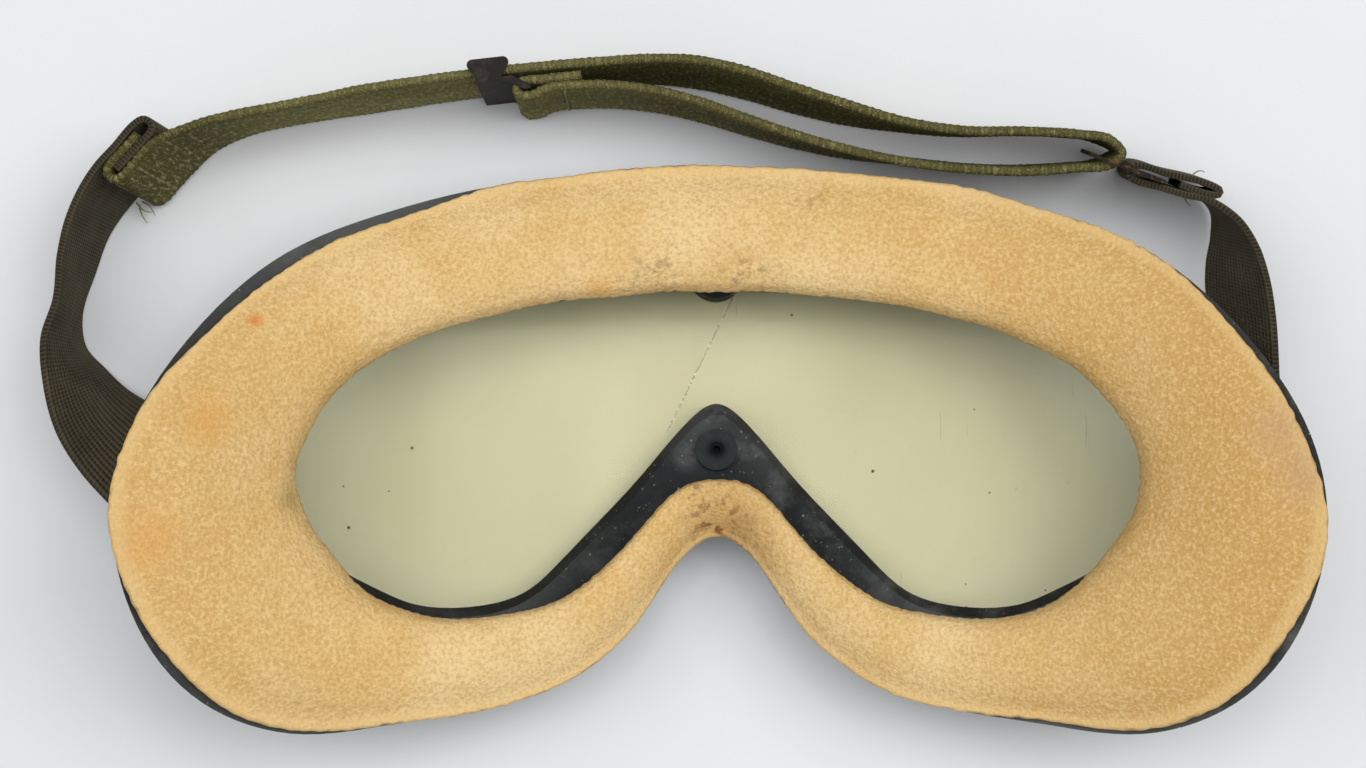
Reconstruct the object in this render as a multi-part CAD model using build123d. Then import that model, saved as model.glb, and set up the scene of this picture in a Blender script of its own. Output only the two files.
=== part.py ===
"""Flying goggles lying lens down, with their head strap standing on edge behind them.

Millimetres. X runs across the goggles, Y up towards the brow, Z away from the lens
towards the wearer. The origin is the middle of the nose snap's front face, on the table.
"""

from build123d import *
import math
import os

# Face side of the goggles
face_half_width = 92.0
face_height = 91.5
face_radius = 165.0
wall_room = 5.62
flange_thickness = 1.8
flange_reveal = 1.3
nose_roll = 7.0

# Lens and the rubber that grips it
lens_thickness = 1.0
lens_clearance = 0.15
lip_thickness = 2.45
lip_edge = 0.9
lip_bevel = 2.0
rim_round = 1.1
groove_wall = 2.2
nose_web = 13.8
lens_tuck = 8.0

# Face pad and its leather cover
crown_height = 5.4
crown_reference_width = 25.0
leather_thickness = 1.1
pad_gap = 0.25

# Snap fasteners through the brow and the nose
brow_snap_set = 5.42
snap_cap_diameter = 9.7
snap_post_diameter = 6.9
snap_head = 1.4
snap_shank = 2.6
snap_bore = 1.3
snap_dish = 2.5
snap_socket_diameter = 7.0
snap_ball = 3.6
snap_base = 5.8
snap_lens_hole = 6.4
snap_gap = 0.12

# Vent holes in the brow and cheek walls
vent_diameter = 2.6
vent_pitch = 9.0
brow_vents = 3
vent_start = 14.0

# Strap lugs
lug_inset = 7.5
lug_thickness = 2.4
lug_over = 6.3
lug_sink = 0.53
lug_middle_share = -0.1093
lug_drape = 2.8
lug_tail = 3.6
slant_radius = 1.4
lug_slot_width = 3.0
lug_bar = 4.6
lug_corner = 3.0

# Strap
strap_width = 25.4
webbing_thickness = 1.5
elastic_thickness = 1.0
strap_back_share = 0.69945
strap_lift = 1.3
layer_gap = 0.15
slot_gap = 0.3
thread = 0.45
stitch_length = 2.2
stitch_rows = 7

# Adjuster and ring
sheet = 0.6
adjuster_plate = 6.0
adjuster_end = 8.5
adjuster_neck = 3.0
adjuster_bar = 1.2
adjuster_bar_reach = 6.0
adjuster_shift = 0.8
adjuster_round = 0.9
ring_length = 13.3
ring_rail = 1.2
ring_gap = 0.5
overrun = 5.0

rim_front = lens_clearance + lip_thickness
rim_back = lens_thickness + lens_clearance + lip_thickness
lens_rise = snap_head + snap_gap + rim_front
lug_reach = face_half_width - lug_inset
lug_middle = face_height * lug_middle_share
strap_back = face_height * strap_back_share
strap_middle = strap_width / 2 + strap_lift

# Stations round the right half, from the middle of the brow to the middle of the nose:
# leather's outer edge x, y, leather's inner edge x, y (x of the half width, y of the
# height), width of the bare rubber inside the leather (of nose_web), depth that the lens
# goes behind the leather (of lens_tuck), how far the nose rolls forward (of nose_roll), and
# how far the flange shows outside the leather (of flange_reveal).
station_shares = [
    (0.000, 0.492, 0.000, 0.273, -0.27, 1.38, 0.0, -0.2),
    (0.217, 0.480, 0.190, 0.263, -0.27, 1.16, 0.0, -0.2),
    (0.418, 0.447, 0.359, 0.236, -0.26, 0.98, 0.0, 0.0),
    (0.592, 0.387, 0.500, 0.191, -0.25, 0.92, 0.0, 0.3),
    (0.755, 0.295, 0.620, 0.126, -0.245, 0.92, 0.0, 0.7),
    (0.886, 0.153, 0.691, 0.042, -0.24, 0.96, 0.0, 0.8),
    (0.982, -0.033, 0.727, -0.060, -0.26, 1.00, 0.0, 0.7),
    (1.000, -0.175, 0.715, -0.131, -0.24, 0.98, 0.0, 0.5),
    (0.957, -0.328, 0.674, -0.195, -0.16, 0.90, 0.0, 0.8),
    (0.853, -0.456, 0.614, -0.262, 0.06, 0.72, 0.0, 0.8),
    (0.717, -0.507, 0.549, -0.297, 0.11, 0.60, 0.0, 0.5),
    (0.565, -0.496, 0.467, -0.314, 0.19, 0.50, 0.0, 0.1),
    (0.402, -0.472, 0.359, -0.304, 0.29, 0.34, 0.05, -0.2),
    (0.266, -0.424, 0.277, -0.279, 0.50, 0.14, 0.25, -0.2),
    (0.174, -0.353, 0.201, -0.223, 0.59, 0.10, 0.5, -0.2),
    (0.098, -0.254, 0.114, -0.127, 0.63, 0.10, 0.8, -0.2),
    (0.046, -0.184, 0.049, -0.073, 0.84, 0.10, 0.95, -0.2),
    (0.000, -0.162, 0.000, -0.064, 1.00, 0.10, 1.0, -0.2),
]
nose_inner_roll_share = 0.35


def face_z(x):
    """Height of the cylinder that the face side follows."""
    return face_rise + face_radius - math.sqrt(face_radius**2 - x**2)


def lens_z(x, front):
    """Height of the surface parallel to the lens, a distance in front of its outer face."""
    return lens_axis - math.sqrt((lens_radius + front) ** 2 - x**2)


class Station:
    """One place round the right half, with the outward direction there."""

    def __init__(self, shares):
        outer_x, outer_y, inner_x, inner_y, web, tuck, roll, reveal = shares
        self.inner = (inner_x * face_half_width, inner_y * face_height)
        outer = (outer_x * face_half_width, outer_y * face_height)
        self.width = math.dist(outer, self.inner)
        self.out = tuple((o - i) / self.width for o, i in zip(outer, self.inner))
        self.web = web * nose_web
        self.tuck = tuck * lens_tuck
        self.roll = roll * nose_roll
        self.reveal = reveal * flange_reveal

    def plan(self, reach):
        """Point in plan, a distance outwards from the leather's inner edge."""
        return tuple(i + d * reach for i, d in zip(self.inner, self.out))

    def at_lens(self, reach, front):
        """Point on a surface parallel to the lens."""
        x, y = self.plan(reach)
        return (x, y, lens_z(x, front))

    def seat(self, reach, height):
        """Point above the flange's face side, which is straight from edge to edge."""
        inner_x = self.plan(0)[0]
        outer_reach = self.width + flange_reveal
        outer_x = self.plan(outer_reach)[0]
        inner_z = face_z(inner_x) - self.roll * nose_inner_roll_share
        outer_z = face_z(outer_x) - self.roll
        x, y = self.plan(reach)
        return (x, y, inner_z + (outer_z - inner_z) * reach / outer_reach + height)


stations = [Station(shares) for shares in station_shares]

# The lugs stand just over the strap's upper edge. The lens groove's back at the temple is
# a little above them, which gives the lens its radius, and the flange stands off that.
temple_x = stations[6].plan(stations[6].tuck)[0]
lug_rise = strap_middle + strap_width / 2 + lug_over
groove_back = lug_rise + lug_sink
groove_climb = groove_back - lens_rise
lens_radius = (groove_climb + rim_back) / 2 + temple_x**2 / (groove_climb - rim_back) / 2
lens_axis = lens_rise + lens_radius
face_bow = face_radius - math.sqrt(face_radius**2 - temple_x**2)
face_rise = groove_back + wall_room + flange_thickness - face_bow


def ring_parameters():
    """Spline parameters by the distance along the middle of the leather, all the way round."""
    middles = [s.plan(s.width / 2) for s in stations]
    steps = [math.dist(a, b) for a, b in zip(middles, middles[1:])]
    total = [0.0]
    for step in steps + steps[::-1]:
        total.append(total[-1] + step)
    return total


ring_steps = ring_parameters()


def ring_curve(points):
    """Closed curve through a point at every station and its mirror image."""
    left = [(-x, y, z) for x, y, z in points[-2:0:-1]]
    return Edge.make_spline(points + left, periodic=True, parameters=ring_steps)


def closed_solid(faces):
    """Solid inside a closed set of faces, whichever way round they were made."""
    solid = Solid(Shell(faces))
    return solid if solid.volume > 0 else Solid(Shell([-face for face in faces]))


def ring_solid(curves):
    """Closed ring whose section has a corner on each curve."""
    pairs = zip(curves, curves[1:] + curves[:1])
    return closed_solid([Face.make_surface_from_curves(a, b) for a, b in pairs])


def frame_corners(s):
    """Corners of the rubber's section at a station, from the flange's edge round to it."""
    edge = s.width + s.reveal
    groove = s.tuck
    rim = groove + groove_wall
    lip = -s.web
    under = -flange_thickness
    return [
        s.seat(edge, 0),
        s.seat(edge, under),
        s.seat(rim, under),
        s.at_lens(rim, -rim_back),
        s.at_lens(rim, rim_front - rim_round),
        s.at_lens(rim - rim_round, rim_front),
        s.at_lens(lip + lip_bevel, rim_front),
        s.at_lens(lip, lens_clearance + lip_edge),
        s.at_lens(lip, lens_clearance),
        s.at_lens(groove, lens_clearance),
        s.at_lens(groove, -lens_thickness - lens_clearance),
        s.at_lens(lip, -lens_thickness - lens_clearance),
        s.at_lens(lip, -lens_thickness - lens_clearance - lip_edge),
        s.at_lens(lip + lip_bevel, -rim_back),
        s.at_lens(groove, -rim_back),
        s.seat(groove, under),
        s.seat(0, under),
        s.seat(0, 0),
    ]


def ring_of(corners):
    """Ring solid from a function that gives the section's corners at a station."""
    sections = [corners(s) for s in stations]
    curves = [ring_curve([section[k] for section in sections]) for k in range(len(sections[0]))]
    return ring_solid(curves)


# Crown of the leather: share of the width from the inner edge, share of the crown's height
crown_shares = [
    (0.00, 0.24),
    (0.03, 0.52),
    (0.10, 0.78),
    (0.24, 0.95),
    (0.46, 1.00),
    (0.68, 0.88),
    (0.86, 0.62),
    (0.96, 0.38),
    (1.00, 0.22),
]
pad_edge_shares = (0.05, 0.93)


def crown_at(s, share):
    """Height of the leather's upper side, a share of the way across."""
    tall = crown_height * math.sqrt(s.width / crown_reference_width)
    for (a, low), (b, high) in zip(crown_shares, crown_shares[1:]):
        if share <= b:
            return pad_gap + tall * (low + (high - low) * (share - a) / (b - a))
    return pad_gap + tall * crown_shares[-1][1]


def under_leather(s, gap):
    """Points under the leather, a gap below its lower side, from inner to outer edge."""
    first, last = pad_edge_shares
    inside = [share for share, _ in crown_shares if first < share < last]
    return [
        s.seat(share * s.width, crown_at(s, share) - leather_thickness - gap)
        for share in [first, *inside, last]
    ]


def leather_corners(s):
    """Section of the leather: crowned on top, hollow over the pad, flat at both edges."""
    first, last = pad_edge_shares
    top = [s.seat(share * s.width, crown_at(s, share)) for share, _ in crown_shares]
    foot = [s.seat(last * s.width, pad_gap), s.seat(first * s.width, pad_gap)]
    hollow = under_leather(s, 0)[::-1]
    ends = [s.seat(s.width, pad_gap), s.seat(0, pad_gap)]
    return [*top, ends[0], foot[0], *hollow, foot[1], ends[1]]


def pad_corners(s):
    """Section of the foam pad, which fills the hollow of the leather with a little room."""
    first, last = pad_edge_shares
    top = under_leather(s, pad_gap)
    low, high = first * s.width + pad_gap, last * s.width - pad_gap
    top[0] = s.seat(low, crown_at(s, first) - leather_thickness - pad_gap)
    top[-1] = s.seat(high, crown_at(s, last) - leather_thickness - pad_gap)
    return [s.seat(low, pad_gap), *top, s.seat(high, pad_gap)]


def upright(x, y, radius, low, high):
    """Round bar or hole along Z."""
    return Pos(x, y, (low + high) / 2) * Cylinder(radius, high - low)


# The four snap pieces stand on one axis: the cap's side and the post's side are the two
# faces of the rubber, and the lens lies between its two lips.
front_face = lens_rise - rim_front
back_face = lens_rise + rim_back
front_lip_inside = lens_rise - lens_clearance
back_lip_inside = lens_rise + lens_thickness + lens_clearance
socket_depth = lip_thickness * 0.55


def snap(name, y, cap_in_front):
    """Cap, socket, stud and post of one snap, and the holes that it needs in the rubber."""

    def level(depth):
        """Height of a depth measured from the cap's side of the rubber."""
        return front_face + depth if cap_in_front else back_face - depth

    def bar(radius, a, b):
        return upright(0, y, radius, *sorted((level(a), level(b))))

    total = back_face - front_face
    socket_top = lip_thickness - socket_depth
    lens_side = lip_thickness + lens_clearance
    far_lens = lens_side + lens_thickness
    cap = bar(snap_cap_diameter / 2, -snap_gap, -snap_gap - snap_head)
    rim = cap.edges().filter_by(GeomType.CIRCLE).sort_by(Axis.Z)
    cap = chamfer(rim[0] if cap_in_front else rim[-1], snap_head / 2, snap_head)
    cap += bar(snap_shank / 2, -snap_gap, socket_top)
    socket = bar(snap_socket_diameter / 2, socket_top + snap_gap, lip_thickness)
    socket -= bar(snap_ball / 2 + snap_gap, socket_top, lip_thickness)
    stud = bar(snap_base / 2, lens_side, far_lens)
    stud += bar(snap_ball / 2, socket_top + snap_gap, lens_side)
    post = bar(snap_post_diameter / 2, total + snap_gap, total + snap_gap + snap_head)
    post += bar(snap_shank / 2, far_lens, total + snap_gap)
    post -= bar(snap_bore / 2, far_lens + snap_gap, total + snap_gap + snap_head)
    post -= bar(snap_dish / 2, total + snap_gap + snap_head / 2, total + snap_gap + snap_head)
    holes = bar(snap_shank / 2 + snap_gap, -overrun, total + overrun)
    holes += bar(snap_socket_diameter / 2 + snap_gap, socket_top, lens_side)
    pieces = {"cap": cap, "socket": socket, "stud": stud, "post": post}
    return {f"{name}_snap_{kind}": piece for kind, piece in pieces.items()}, holes


brow_snap_y = stations[0].inner[1] + brow_snap_set
brow_snap, brow_holes = snap("brow", brow_snap_y, False)
nose_snap, nose_holes = snap("nose", 0, True)


def lens():
    """Shell of a cylinder cut to the groove's outline, with a hole for each snap."""
    outline = ring_curve([(*s.plan(s.tuck - lens_clearance), 0) for s in stations])
    blank = extrude(Face(Wire([outline])), lens_axis, (0, 0, 1))
    turn = Rot(90, 0, 0)
    shell = turn * Cylinder(lens_radius, 2 * face_height)
    shell -= turn * Cylinder(lens_radius - lens_thickness, 2 * face_height)
    sheet_only = blank & (Pos(0, 0, lens_axis) * shell)
    for y in (0, brow_snap_y):
        sheet_only -= upright(0, y, snap_lens_hole / 2, 0, lens_axis)
    return sheet_only


lug_bar_inner = lug_reach - lug_bar
lug_slot_length = strap_width + 2 * lug_slot_width / 3
lug_stations = range(5, 9)


def lug(side):
    """Plate outside the temple with a slot along Y for the elastic."""
    root = [stations[k].plan(stations[k].tuck + groove_wall / 2) for k in lug_stations]
    half = lug_slot_length / 2 + lug_corner
    corners = [(lug_reach, lug_middle - half), (lug_reach, lug_middle + half)]
    outline = Wire.make_polygon([(x, y, lug_rise) for x, y in root + corners])
    plate = extrude(Face(outline), lug_thickness, (0, 0, 1))
    tips = [e for e in plate.edges().filter_by(Axis.Z) if e.center().X > lug_bar_inner]
    plate = fillet(tips, lug_corner)
    slot = Box(lug_slot_width, lug_slot_length, 2 * overrun)
    slot_x = lug_bar_inner - lug_slot_width / 2
    plate -= Pos(slot_x, lug_middle, lug_rise + lug_thickness / 2) * slot
    return plate if side > 0 else mirror(plate, Plane.YZ)


def vents():
    """Rows of holes through the brow wall, half way up it."""
    height = (back_face + face_rise) / 2
    hole = Rot(90, 0, 0) * Cylinder(vent_diameter / 2, face_height)
    row = []
    for side in (-1, 1):
        for k in range(brow_vents):
            x = side * (vent_start + k * vent_pitch)
            lift = face_z(x) - face_rise
            row.append(Pos(x, face_height / 2 + brow_snap_y / 2, height + lift) * hole)
    return row


def frame():
    """Moulded rubber: flange, wall, lens groove, nose web, brow snap's tab, strap lugs."""
    body = ring_of(frame_corners)
    body = body + lug(1) + lug(-1)
    tab = snap_cap_diameter / 2 - snap_gap
    for low, high in ((front_face, front_lip_inside), (back_lip_inside, back_face)):
        body += upright(0, brow_snap_y, tab, low + snap_gap, high - snap_gap)
    for hole in [brow_holes, nose_holes, *vents()]:
        body -= hole
    return body


def unit(vector):
    """Vector of length one in the same direction."""
    length = math.hypot(*vector)
    return tuple(v / length for v in vector)


def cross(a, b):
    """Vector square to both."""
    return (
        a[1] * b[2] - a[2] * b[1],
        a[2] * b[0] - a[0] * b[2],
        a[0] * b[1] - a[1] * b[0],
    )


def move(point, *steps):
    """Point moved by pairs of a direction and a distance."""
    for direction, distance in steps:
        point = tuple(p + d * distance for p, d in zip(point, direction))
    return point


def band(route, thickness):
    """Flat band along a route of middle points, each with its line across the band.

    A line of length one is square across. A longer one crosses the band on a slant.
    """
    points = [point for point, _ in route]
    steps = [unit(tuple(b - a for a, b in zip(p, q))) for p, q in zip(points, points[1:])]
    sections = []
    for k, (point, across) in enumerate(route):
        before, after = steps[max(k - 1, 0)], steps[min(k, len(steps) - 1)]
        along = unit(tuple(a + b for a, b in zip(before, after)))
        facing = unit(cross(along, across))
        turn = sum(a * b for a, b in zip(before, after))
        half = thickness / 2 / math.sqrt((1 + turn) / 2)
        corners = [
            move(point, (across, w * strap_width / 2), (facing, t * half))
            for w, t in ((-1, -1), (1, -1), (1, 1), (-1, 1))
        ]
        sections.append(corners)
    faces = [Face(Wire.make_polygon(sections[end])) for end in (0, -1)]
    for here, there in zip(sections, sections[1:]):
        for side in range(4):
            near = Edge.make_line(here[side - 1], here[side])
            far = Edge.make_line(there[side - 1], there[side])
            faces.append(Face.make_surface_from_curves(near, far))
    return closed_solid(faces)


def half_turn(middle, along, out, radius, first, last):
    """Points of a turn in the plane of two directions, every thirty degrees."""
    span = last - first
    count = round(abs(span) / 30)
    turns = [math.radians(first + span * k / count) for k in range(count + 1)]
    return [move(middle, (along, radius * math.cos(a)), (out, radius * math.sin(a))) for a in turns]


# Left join, where the webbing's hook and the elastic's hook hold each other
join_shares = (-1.048, 0.661)
join_along = unit((0.663, 0.749, 0))
join_out = (-join_along[1], join_along[0], 0)
join_up = unit((-0.121, -0.008, 0.993))
join_grip = 8.2
hook_step = webbing_thickness + elastic_thickness + 2 * layer_gap
hook_turn = hook_step / 2
elastic_step = webbing_thickness + elastic_thickness + 2 * layer_gap
join_origin = (join_shares[0] * face_half_width, join_shares[1] * strap_back, strap_middle)


def join_point(along, out):
    """Point in the join: distance along the strap, distance away from the goggles."""
    return move(join_origin, (join_along, along), (join_out, out))


# Places along the strap: x of the half width, y of strap_back, z of the strap's width, and
# the direction from the strap's lower edge to its upper edge.
webbing_shares = [
    (-0.925, 0.816, 0.0, (-0.03, -0.05, 1.0)),
    (-0.860, 0.849, 0.0, (0.0, -0.08, 1.0)),
    (-0.780, 0.873, 0.0, (0.0, -0.09, 1.0)),
    (-0.700, 0.894, 0.0, (0.0, -0.08, 1.0)),
    (-0.630, 0.9121, 0.0, (0.0, -0.06, 1.0)),
]
straight_start_shares = (-0.600, 0.9190)
straight_end_shares = (-0.200, 0.9850)
straight_up = unit((0.0, -0.06, 1.0))
through_shares = [
    (-0.120, 0.990, 0.0, (0.0, -0.05, 1.0)),
    (-0.040, 0.983, 0.0, (0.0, -0.03, 1.0)),
    (0.050, 0.955, 0.0, (0.0, -0.03, 1.0)),
    (0.140, 0.914, 0.0, (0.0, -0.05, 1.0)),
    (0.230, 0.877, 0.0, (0.0, -0.08, 1.0)),
    (0.330, 0.845, 0.0, (0.0, -0.14, 0.99)),
    (0.440, 0.826, 0.0, (0.0, -0.17, 0.985)),
    (0.550, 0.826, 0.0, (0.0, -0.18, 0.98)),
    (0.640, 0.820, 0.0, (0.0, -0.19, 0.98)),
    (0.700, 0.805, 0.0, (-0.02, -0.19, 0.98)),
]
loop_tip_shares = (0.728, 0.772)
return_shares = [
    (0.700, 0.742, 0.0, (-0.02, -0.19, 0.98)),
    (0.640, 0.731, 0.0, (0.0, -0.18, 0.98)),
]
return_run_shares = [
    (0.560, 0.724, 0.0, (0.0, -0.19, 0.98)),
    (0.460, 0.728, 0.0, (0.0, -0.19, 0.98)),
    (0.350, 0.745, 0.0, (0.0, -0.19, 0.98)),
    (0.240, 0.770, 0.0, (0.0, -0.15, 0.99)),
    (0.140, 0.805, 0.0, (0.0, -0.12, 0.99)),
    (0.050, 0.845, 0.0, (0.0, -0.10, 1.0)),
    (-0.030, 0.883, 0.0, (0.0, -0.08, 1.0)),
    (-0.100, 0.908, 0.0, (0.0, -0.07, 1.0)),
]


def strap_point(x_share, y_share, z_share):
    """Point of the strap, its height counted from the middle of the strap's edge-on run."""
    height = strap_middle + z_share * strap_width
    return (x_share * face_half_width, y_share * strap_back, height)


def strap_route(shares):
    """Route from rows of shares."""
    return [(strap_point(x, y, z), up) for x, y, z, up in shares]


straight_start = strap_point(*straight_start_shares, 0)
straight_end = strap_point(*straight_end_shares, 0)
straight_along = unit(tuple(b - a for a, b in zip(straight_start, straight_end)))
straight_out = unit(cross(straight_up, straight_along))


def webbing():
    """Cotton webbing: hook, run through the adjuster, and turn at the ring."""
    turn_middle = join_point(hook_turn, hook_turn)
    hook = [join_point(join_grip, hook_step), join_point(join_grip / 2, hook_step)]
    hook += half_turn(turn_middle, join_along, join_out, hook_turn, 90, 270)
    hook += [join_point(join_grip / 2, 0), join_point(join_grip, 0)]
    route = [(point, join_up) for point in hook]
    route += strap_route(webbing_shares)
    route += [(straight_start, straight_up), (straight_end, straight_up)]
    route += strap_route(through_shares)
    route += [(strap_point(*loop_tip_shares, 0), ring_up)]
    route += strap_route(return_shares)
    return band(route, webbing_thickness)


# The adjuster's own axes: along the strap, away from the goggles, and up the strap's width
adjuster_share = 0.487


def adjuster_point(along, out, up=0.0):
    """Point given from the middle of the adjuster."""
    length = math.dist(straight_start, straight_end)
    place = length * adjuster_share + along
    return move(straight_start, (straight_along, place), (straight_out, out), (straight_up, up))


tail_out = -(webbing_thickness + layer_gap * 2)
bar_room = sheet + 2 * layer_gap
return_out = tail_out - webbing_thickness - bar_room
fold_turn = (tail_out - return_out) / 2
fold_start = adjuster_bar_reach - adjuster_bar / 2
tail_length = 9.5
settle_length = 3.5


def return_run():
    """Webbing from beside the ring back to the adjuster's bar, folded and sewn to itself."""
    close = -(webbing_thickness + layer_gap)
    fold_middle = adjuster_point(fold_start, (tail_out + return_out) / 2)
    out_side = [
        adjuster_point(fold_start + tail_length, tail_out),
        adjuster_point(fold_start + settle_length, tail_out),
    ]
    turn = half_turn(fold_middle, straight_along, straight_out, fold_turn, 90, 270)
    in_side = [
        adjuster_point(fold_start + adjuster_bar, return_out),
        adjuster_point(fold_start + settle_length, tail_out + close),
        adjuster_point(fold_start + tail_length, tail_out + close),
    ]
    route = [(point, straight_up) for point in out_side + turn + in_side]
    route += strap_route(return_run_shares)[::-1]
    (last, up), (before, _) = strap_route(return_shares)[-1], route[-1]
    back = unit(tuple(b - a for a, b in zip(last, before)))
    route.append((move(last, (back, slot_gap)), up))
    return band(route, webbing_thickness)


def framed_box(origin, along, up, size):
    """Box centred on a point, its sides along three named directions."""
    place = Plane(origin=origin, x_dir=along, z_dir=up)
    return place * Box(*size)


def adjuster():
    """One stamped slide: plates each side of the webbing, end plates, and a side bar."""
    inside = strap_width + 2 * slot_gap
    tall = inside + 2 * sheet
    room = webbing_thickness / 2 + layer_gap
    plate_out = room + sheet / 2
    bar_out = (tail_out + return_out) / 2
    end_up = inside / 2 + sheet / 2

    def piece(along, out, up, size):
        return framed_box(adjuster_point(along, out, up), straight_along, straight_up, size)

    def flat_piece(up, corners):
        """Sheet of the end plates' level, cut to corners along and out from the strap."""
        outline = [adjuster_point(a, o, up - sheet / 2) for a, o in corners]
        return extrude(Face(Wire.make_polygon(outline)), sheet, Vector(*straight_up))

    def end_plate(up):
        """Trapezoid, wide outside the strap and narrow where it turns down to the front."""
        wide, neck = adjuster_end / 2, adjuster_neck / 2
        outer, inner = plate_out + sheet / 2 + adjuster_round, -plate_out - sheet / 2
        plate = flat_piece(up, [(-wide, outer), (wide, outer), (neck, inner), (-neck, inner)])
        upright_edges = plate.edges().filter_by(lambda e: abs(e.length - sheet) < layer_gap)
        tips = upright_edges.sort_by(lambda e: (e.center() - adjuster_middle).dot(out_way))[-2:]
        return fillet(tips, adjuster_round)

    def arm(up):
        """Strip from the front plate's edge out to the side bar."""
        near = adjuster_shift + adjuster_plate / 2
        first, last = adjuster_bar_reach - adjuster_bar / 2, adjuster_bar_reach + adjuster_bar / 2
        corners = [
            (near - adjuster_bar, -plate_out + sheet / 2),
            (near, -plate_out + sheet / 2),
            (last, bar_out + sheet / 2),
            (last, bar_out - sheet / 2),
            (first, bar_out - sheet / 2),
            (near - adjuster_bar, -plate_out - sheet / 2),
        ]
        return flat_piece(up, corners)

    adjuster_middle = Vector(*adjuster_point(0, 0))
    out_way = Vector(*straight_out)
    body = piece(0, plate_out, 0, (adjuster_plate, sheet, tall))
    body += piece(adjuster_shift, -plate_out, 0, (adjuster_plate, sheet, tall))
    body += end_plate(end_up) + end_plate(-end_up) + arm(end_up) + arm(-end_up)
    return body + piece(adjuster_bar_reach, bar_out, 0, (adjuster_bar, sheet, tall))


# Ring and the elastic's fold round its right bar
ring_bar_shares = (0.797, 0.702)
ring_along = unit((0.935, -0.354, 0))
ring_up = unit((-0.08, -0.20, 0.975))
fold_along = unit((0.958, -0.286, 0))
ring_bar_place = strap_point(*ring_bar_shares, 0)
ring_tall = strap_width + 2 * ring_gap + 2 * ring_rail


def square_to(vector, axis):
    """Unit vector in the direction of vector, made square to an axis."""
    lean = sum(a * b for a, b in zip(vector, axis))
    return unit(tuple(v - lean * a for v, a in zip(vector, axis)))


def ring():
    """Flat stamped ring: two upright bars, two rails and an open middle."""
    along = square_to(ring_along, ring_up)
    middle = move(ring_bar_place, (along, ring_rail / 2 - ring_length / 2))
    outer = framed_box(middle, along, ring_up, (ring_length, sheet, ring_tall))
    hole = (ring_length - 2 * ring_rail, sheet + overrun, ring_tall - 2 * ring_rail)
    outer -= framed_box(middle, along, ring_up, hole)
    corners = outer.edges().filter_by(lambda e: abs(e.length - sheet) < layer_gap)
    outside = corners.sort_by(lambda e: -(e.center() - Vector(*middle)).length)[:4]
    return fillet(outside, ring_rail / 2)


fold_main = -(sheet / 2 + slot_gap + elastic_thickness / 2)
fold_outer = -fold_main + elastic_thickness / 4
fold_tail = fold_outer - elastic_thickness - layer_gap
fold_reach = 9.0
fold_tail_start = 3.0
fold_tip = 4.2


def fold_point(along, out):
    """Point in the elastic's fold, from the ring's right bar."""
    direction = square_to(fold_along, ring_up)
    return move(ring_bar_place, (direction, along), (cross(ring_up, direction), out))


# Elastic between the fold or the join and the lug, as the webbing's shares
right_elastic_shares = [
    (0.920, 0.605, 0.006, (0.000, -0.219, 0.976)),
    (0.936, 0.537, -0.004, (0.116, -0.221, 0.968)),
    (0.940, 0.463, -0.002, (0.218, -0.241, 0.946)),
    (0.943, 0.374, 0.016, (0.263, -0.267, 0.927)),
    (0.953, 0.247, 0.016, (0.213, -0.378, 0.961)),
    (0.965, 0.127, 0.008, (0.122, -0.559, 0.984)),
    (0.975, 0.004, 0.002, (0.039, -0.807, 0.996)),
]
left_elastic_shares = [
    (-1.140, 0.575, -0.041, (-0.063, -0.032, 0.998)),
    (-1.158, 0.482, -0.043, (-0.028, -0.028, 0.999)),
    (-1.173, 0.362, -0.041, (0.036, -0.024, 0.999)),
    (-1.179, 0.274, -0.041, (-0.067, -0.060, 0.996)),
    (-1.154, 0.177, -0.010, (-0.199, -0.211, 0.957)),
    (-1.119, 0.091, 0.059, (-0.268, -0.365, 0.892)),
    (-1.074, 0.022, 0.140, (-0.265, -0.522, 0.811)),
    (-1.024, -0.039, 0.213, (-0.180, -0.704, 0.688)),
    (-0.980, -0.101, 0.313, (-0.067, -0.868, 0.491)),
    (-0.957, -0.144, 0.447, (-0.012, -0.971, 0.241)),
    (-0.949, -0.156, 0.591, (0.000, -1.000, 0.000)),
]


def slant_fold():
    """Route where the right elastic folds over on a slant and turns up to its lug."""
    line = (0, -1, 1)
    along, ahead, inward = unit(line), unit((0, -1, -1)), (-1, 0, 0)
    drift = math.pi * slant_radius / math.sqrt(2)
    start = (lug_reach + lug_drape + 2 * slant_radius, lug_middle + drift, strap_middle)
    route = []
    for k in range(7):
        turn = math.pi * k / 6
        out, side = slant_radius * math.sin(turn), slant_radius * (1 - math.cos(turn))
        steps = ((ahead, out), (inward, side), (along, slant_radius * turn))
        route.append((move(start, *steps), line))
    top = strap_middle + strap_width / 2 + drift + layer_gap
    return route + [((lug_reach + lug_drape, lug_middle, top), (0, -1, 0))]


def lug_loop(side):
    """Route of the elastic up outside the lug, over it, down its slot and back under it."""
    outward, upward = (side, 0, 0), (0, 0, 1)
    half = elastic_thickness / 2
    over = lug_rise + lug_thickness + slot_gap + half
    under = lug_rise - slot_gap - half
    main = lug_reach + lug_drape
    tail = main - elastic_thickness - layer_gap
    turn = elastic_thickness
    slot = lug_bar_inner - lug_slot_width / 2

    def at(x, z):
        return (side * x, lug_middle, z)

    route = half_turn(at(main - lug_drape, over - lug_drape), outward, upward, lug_drape, 0, 90)
    route += half_turn(at(slot + turn, over - turn), outward, upward, turn, 90, 180)
    route += half_turn(at(slot + turn, under + turn), outward, upward, turn, 180, 270)
    route += half_turn(at(tail - turn, under - turn), outward, upward, turn, 90, 0)
    route.append(at(tail, under - lug_tail))
    return [(point, (0, -1, 0)) for point in route]


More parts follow.
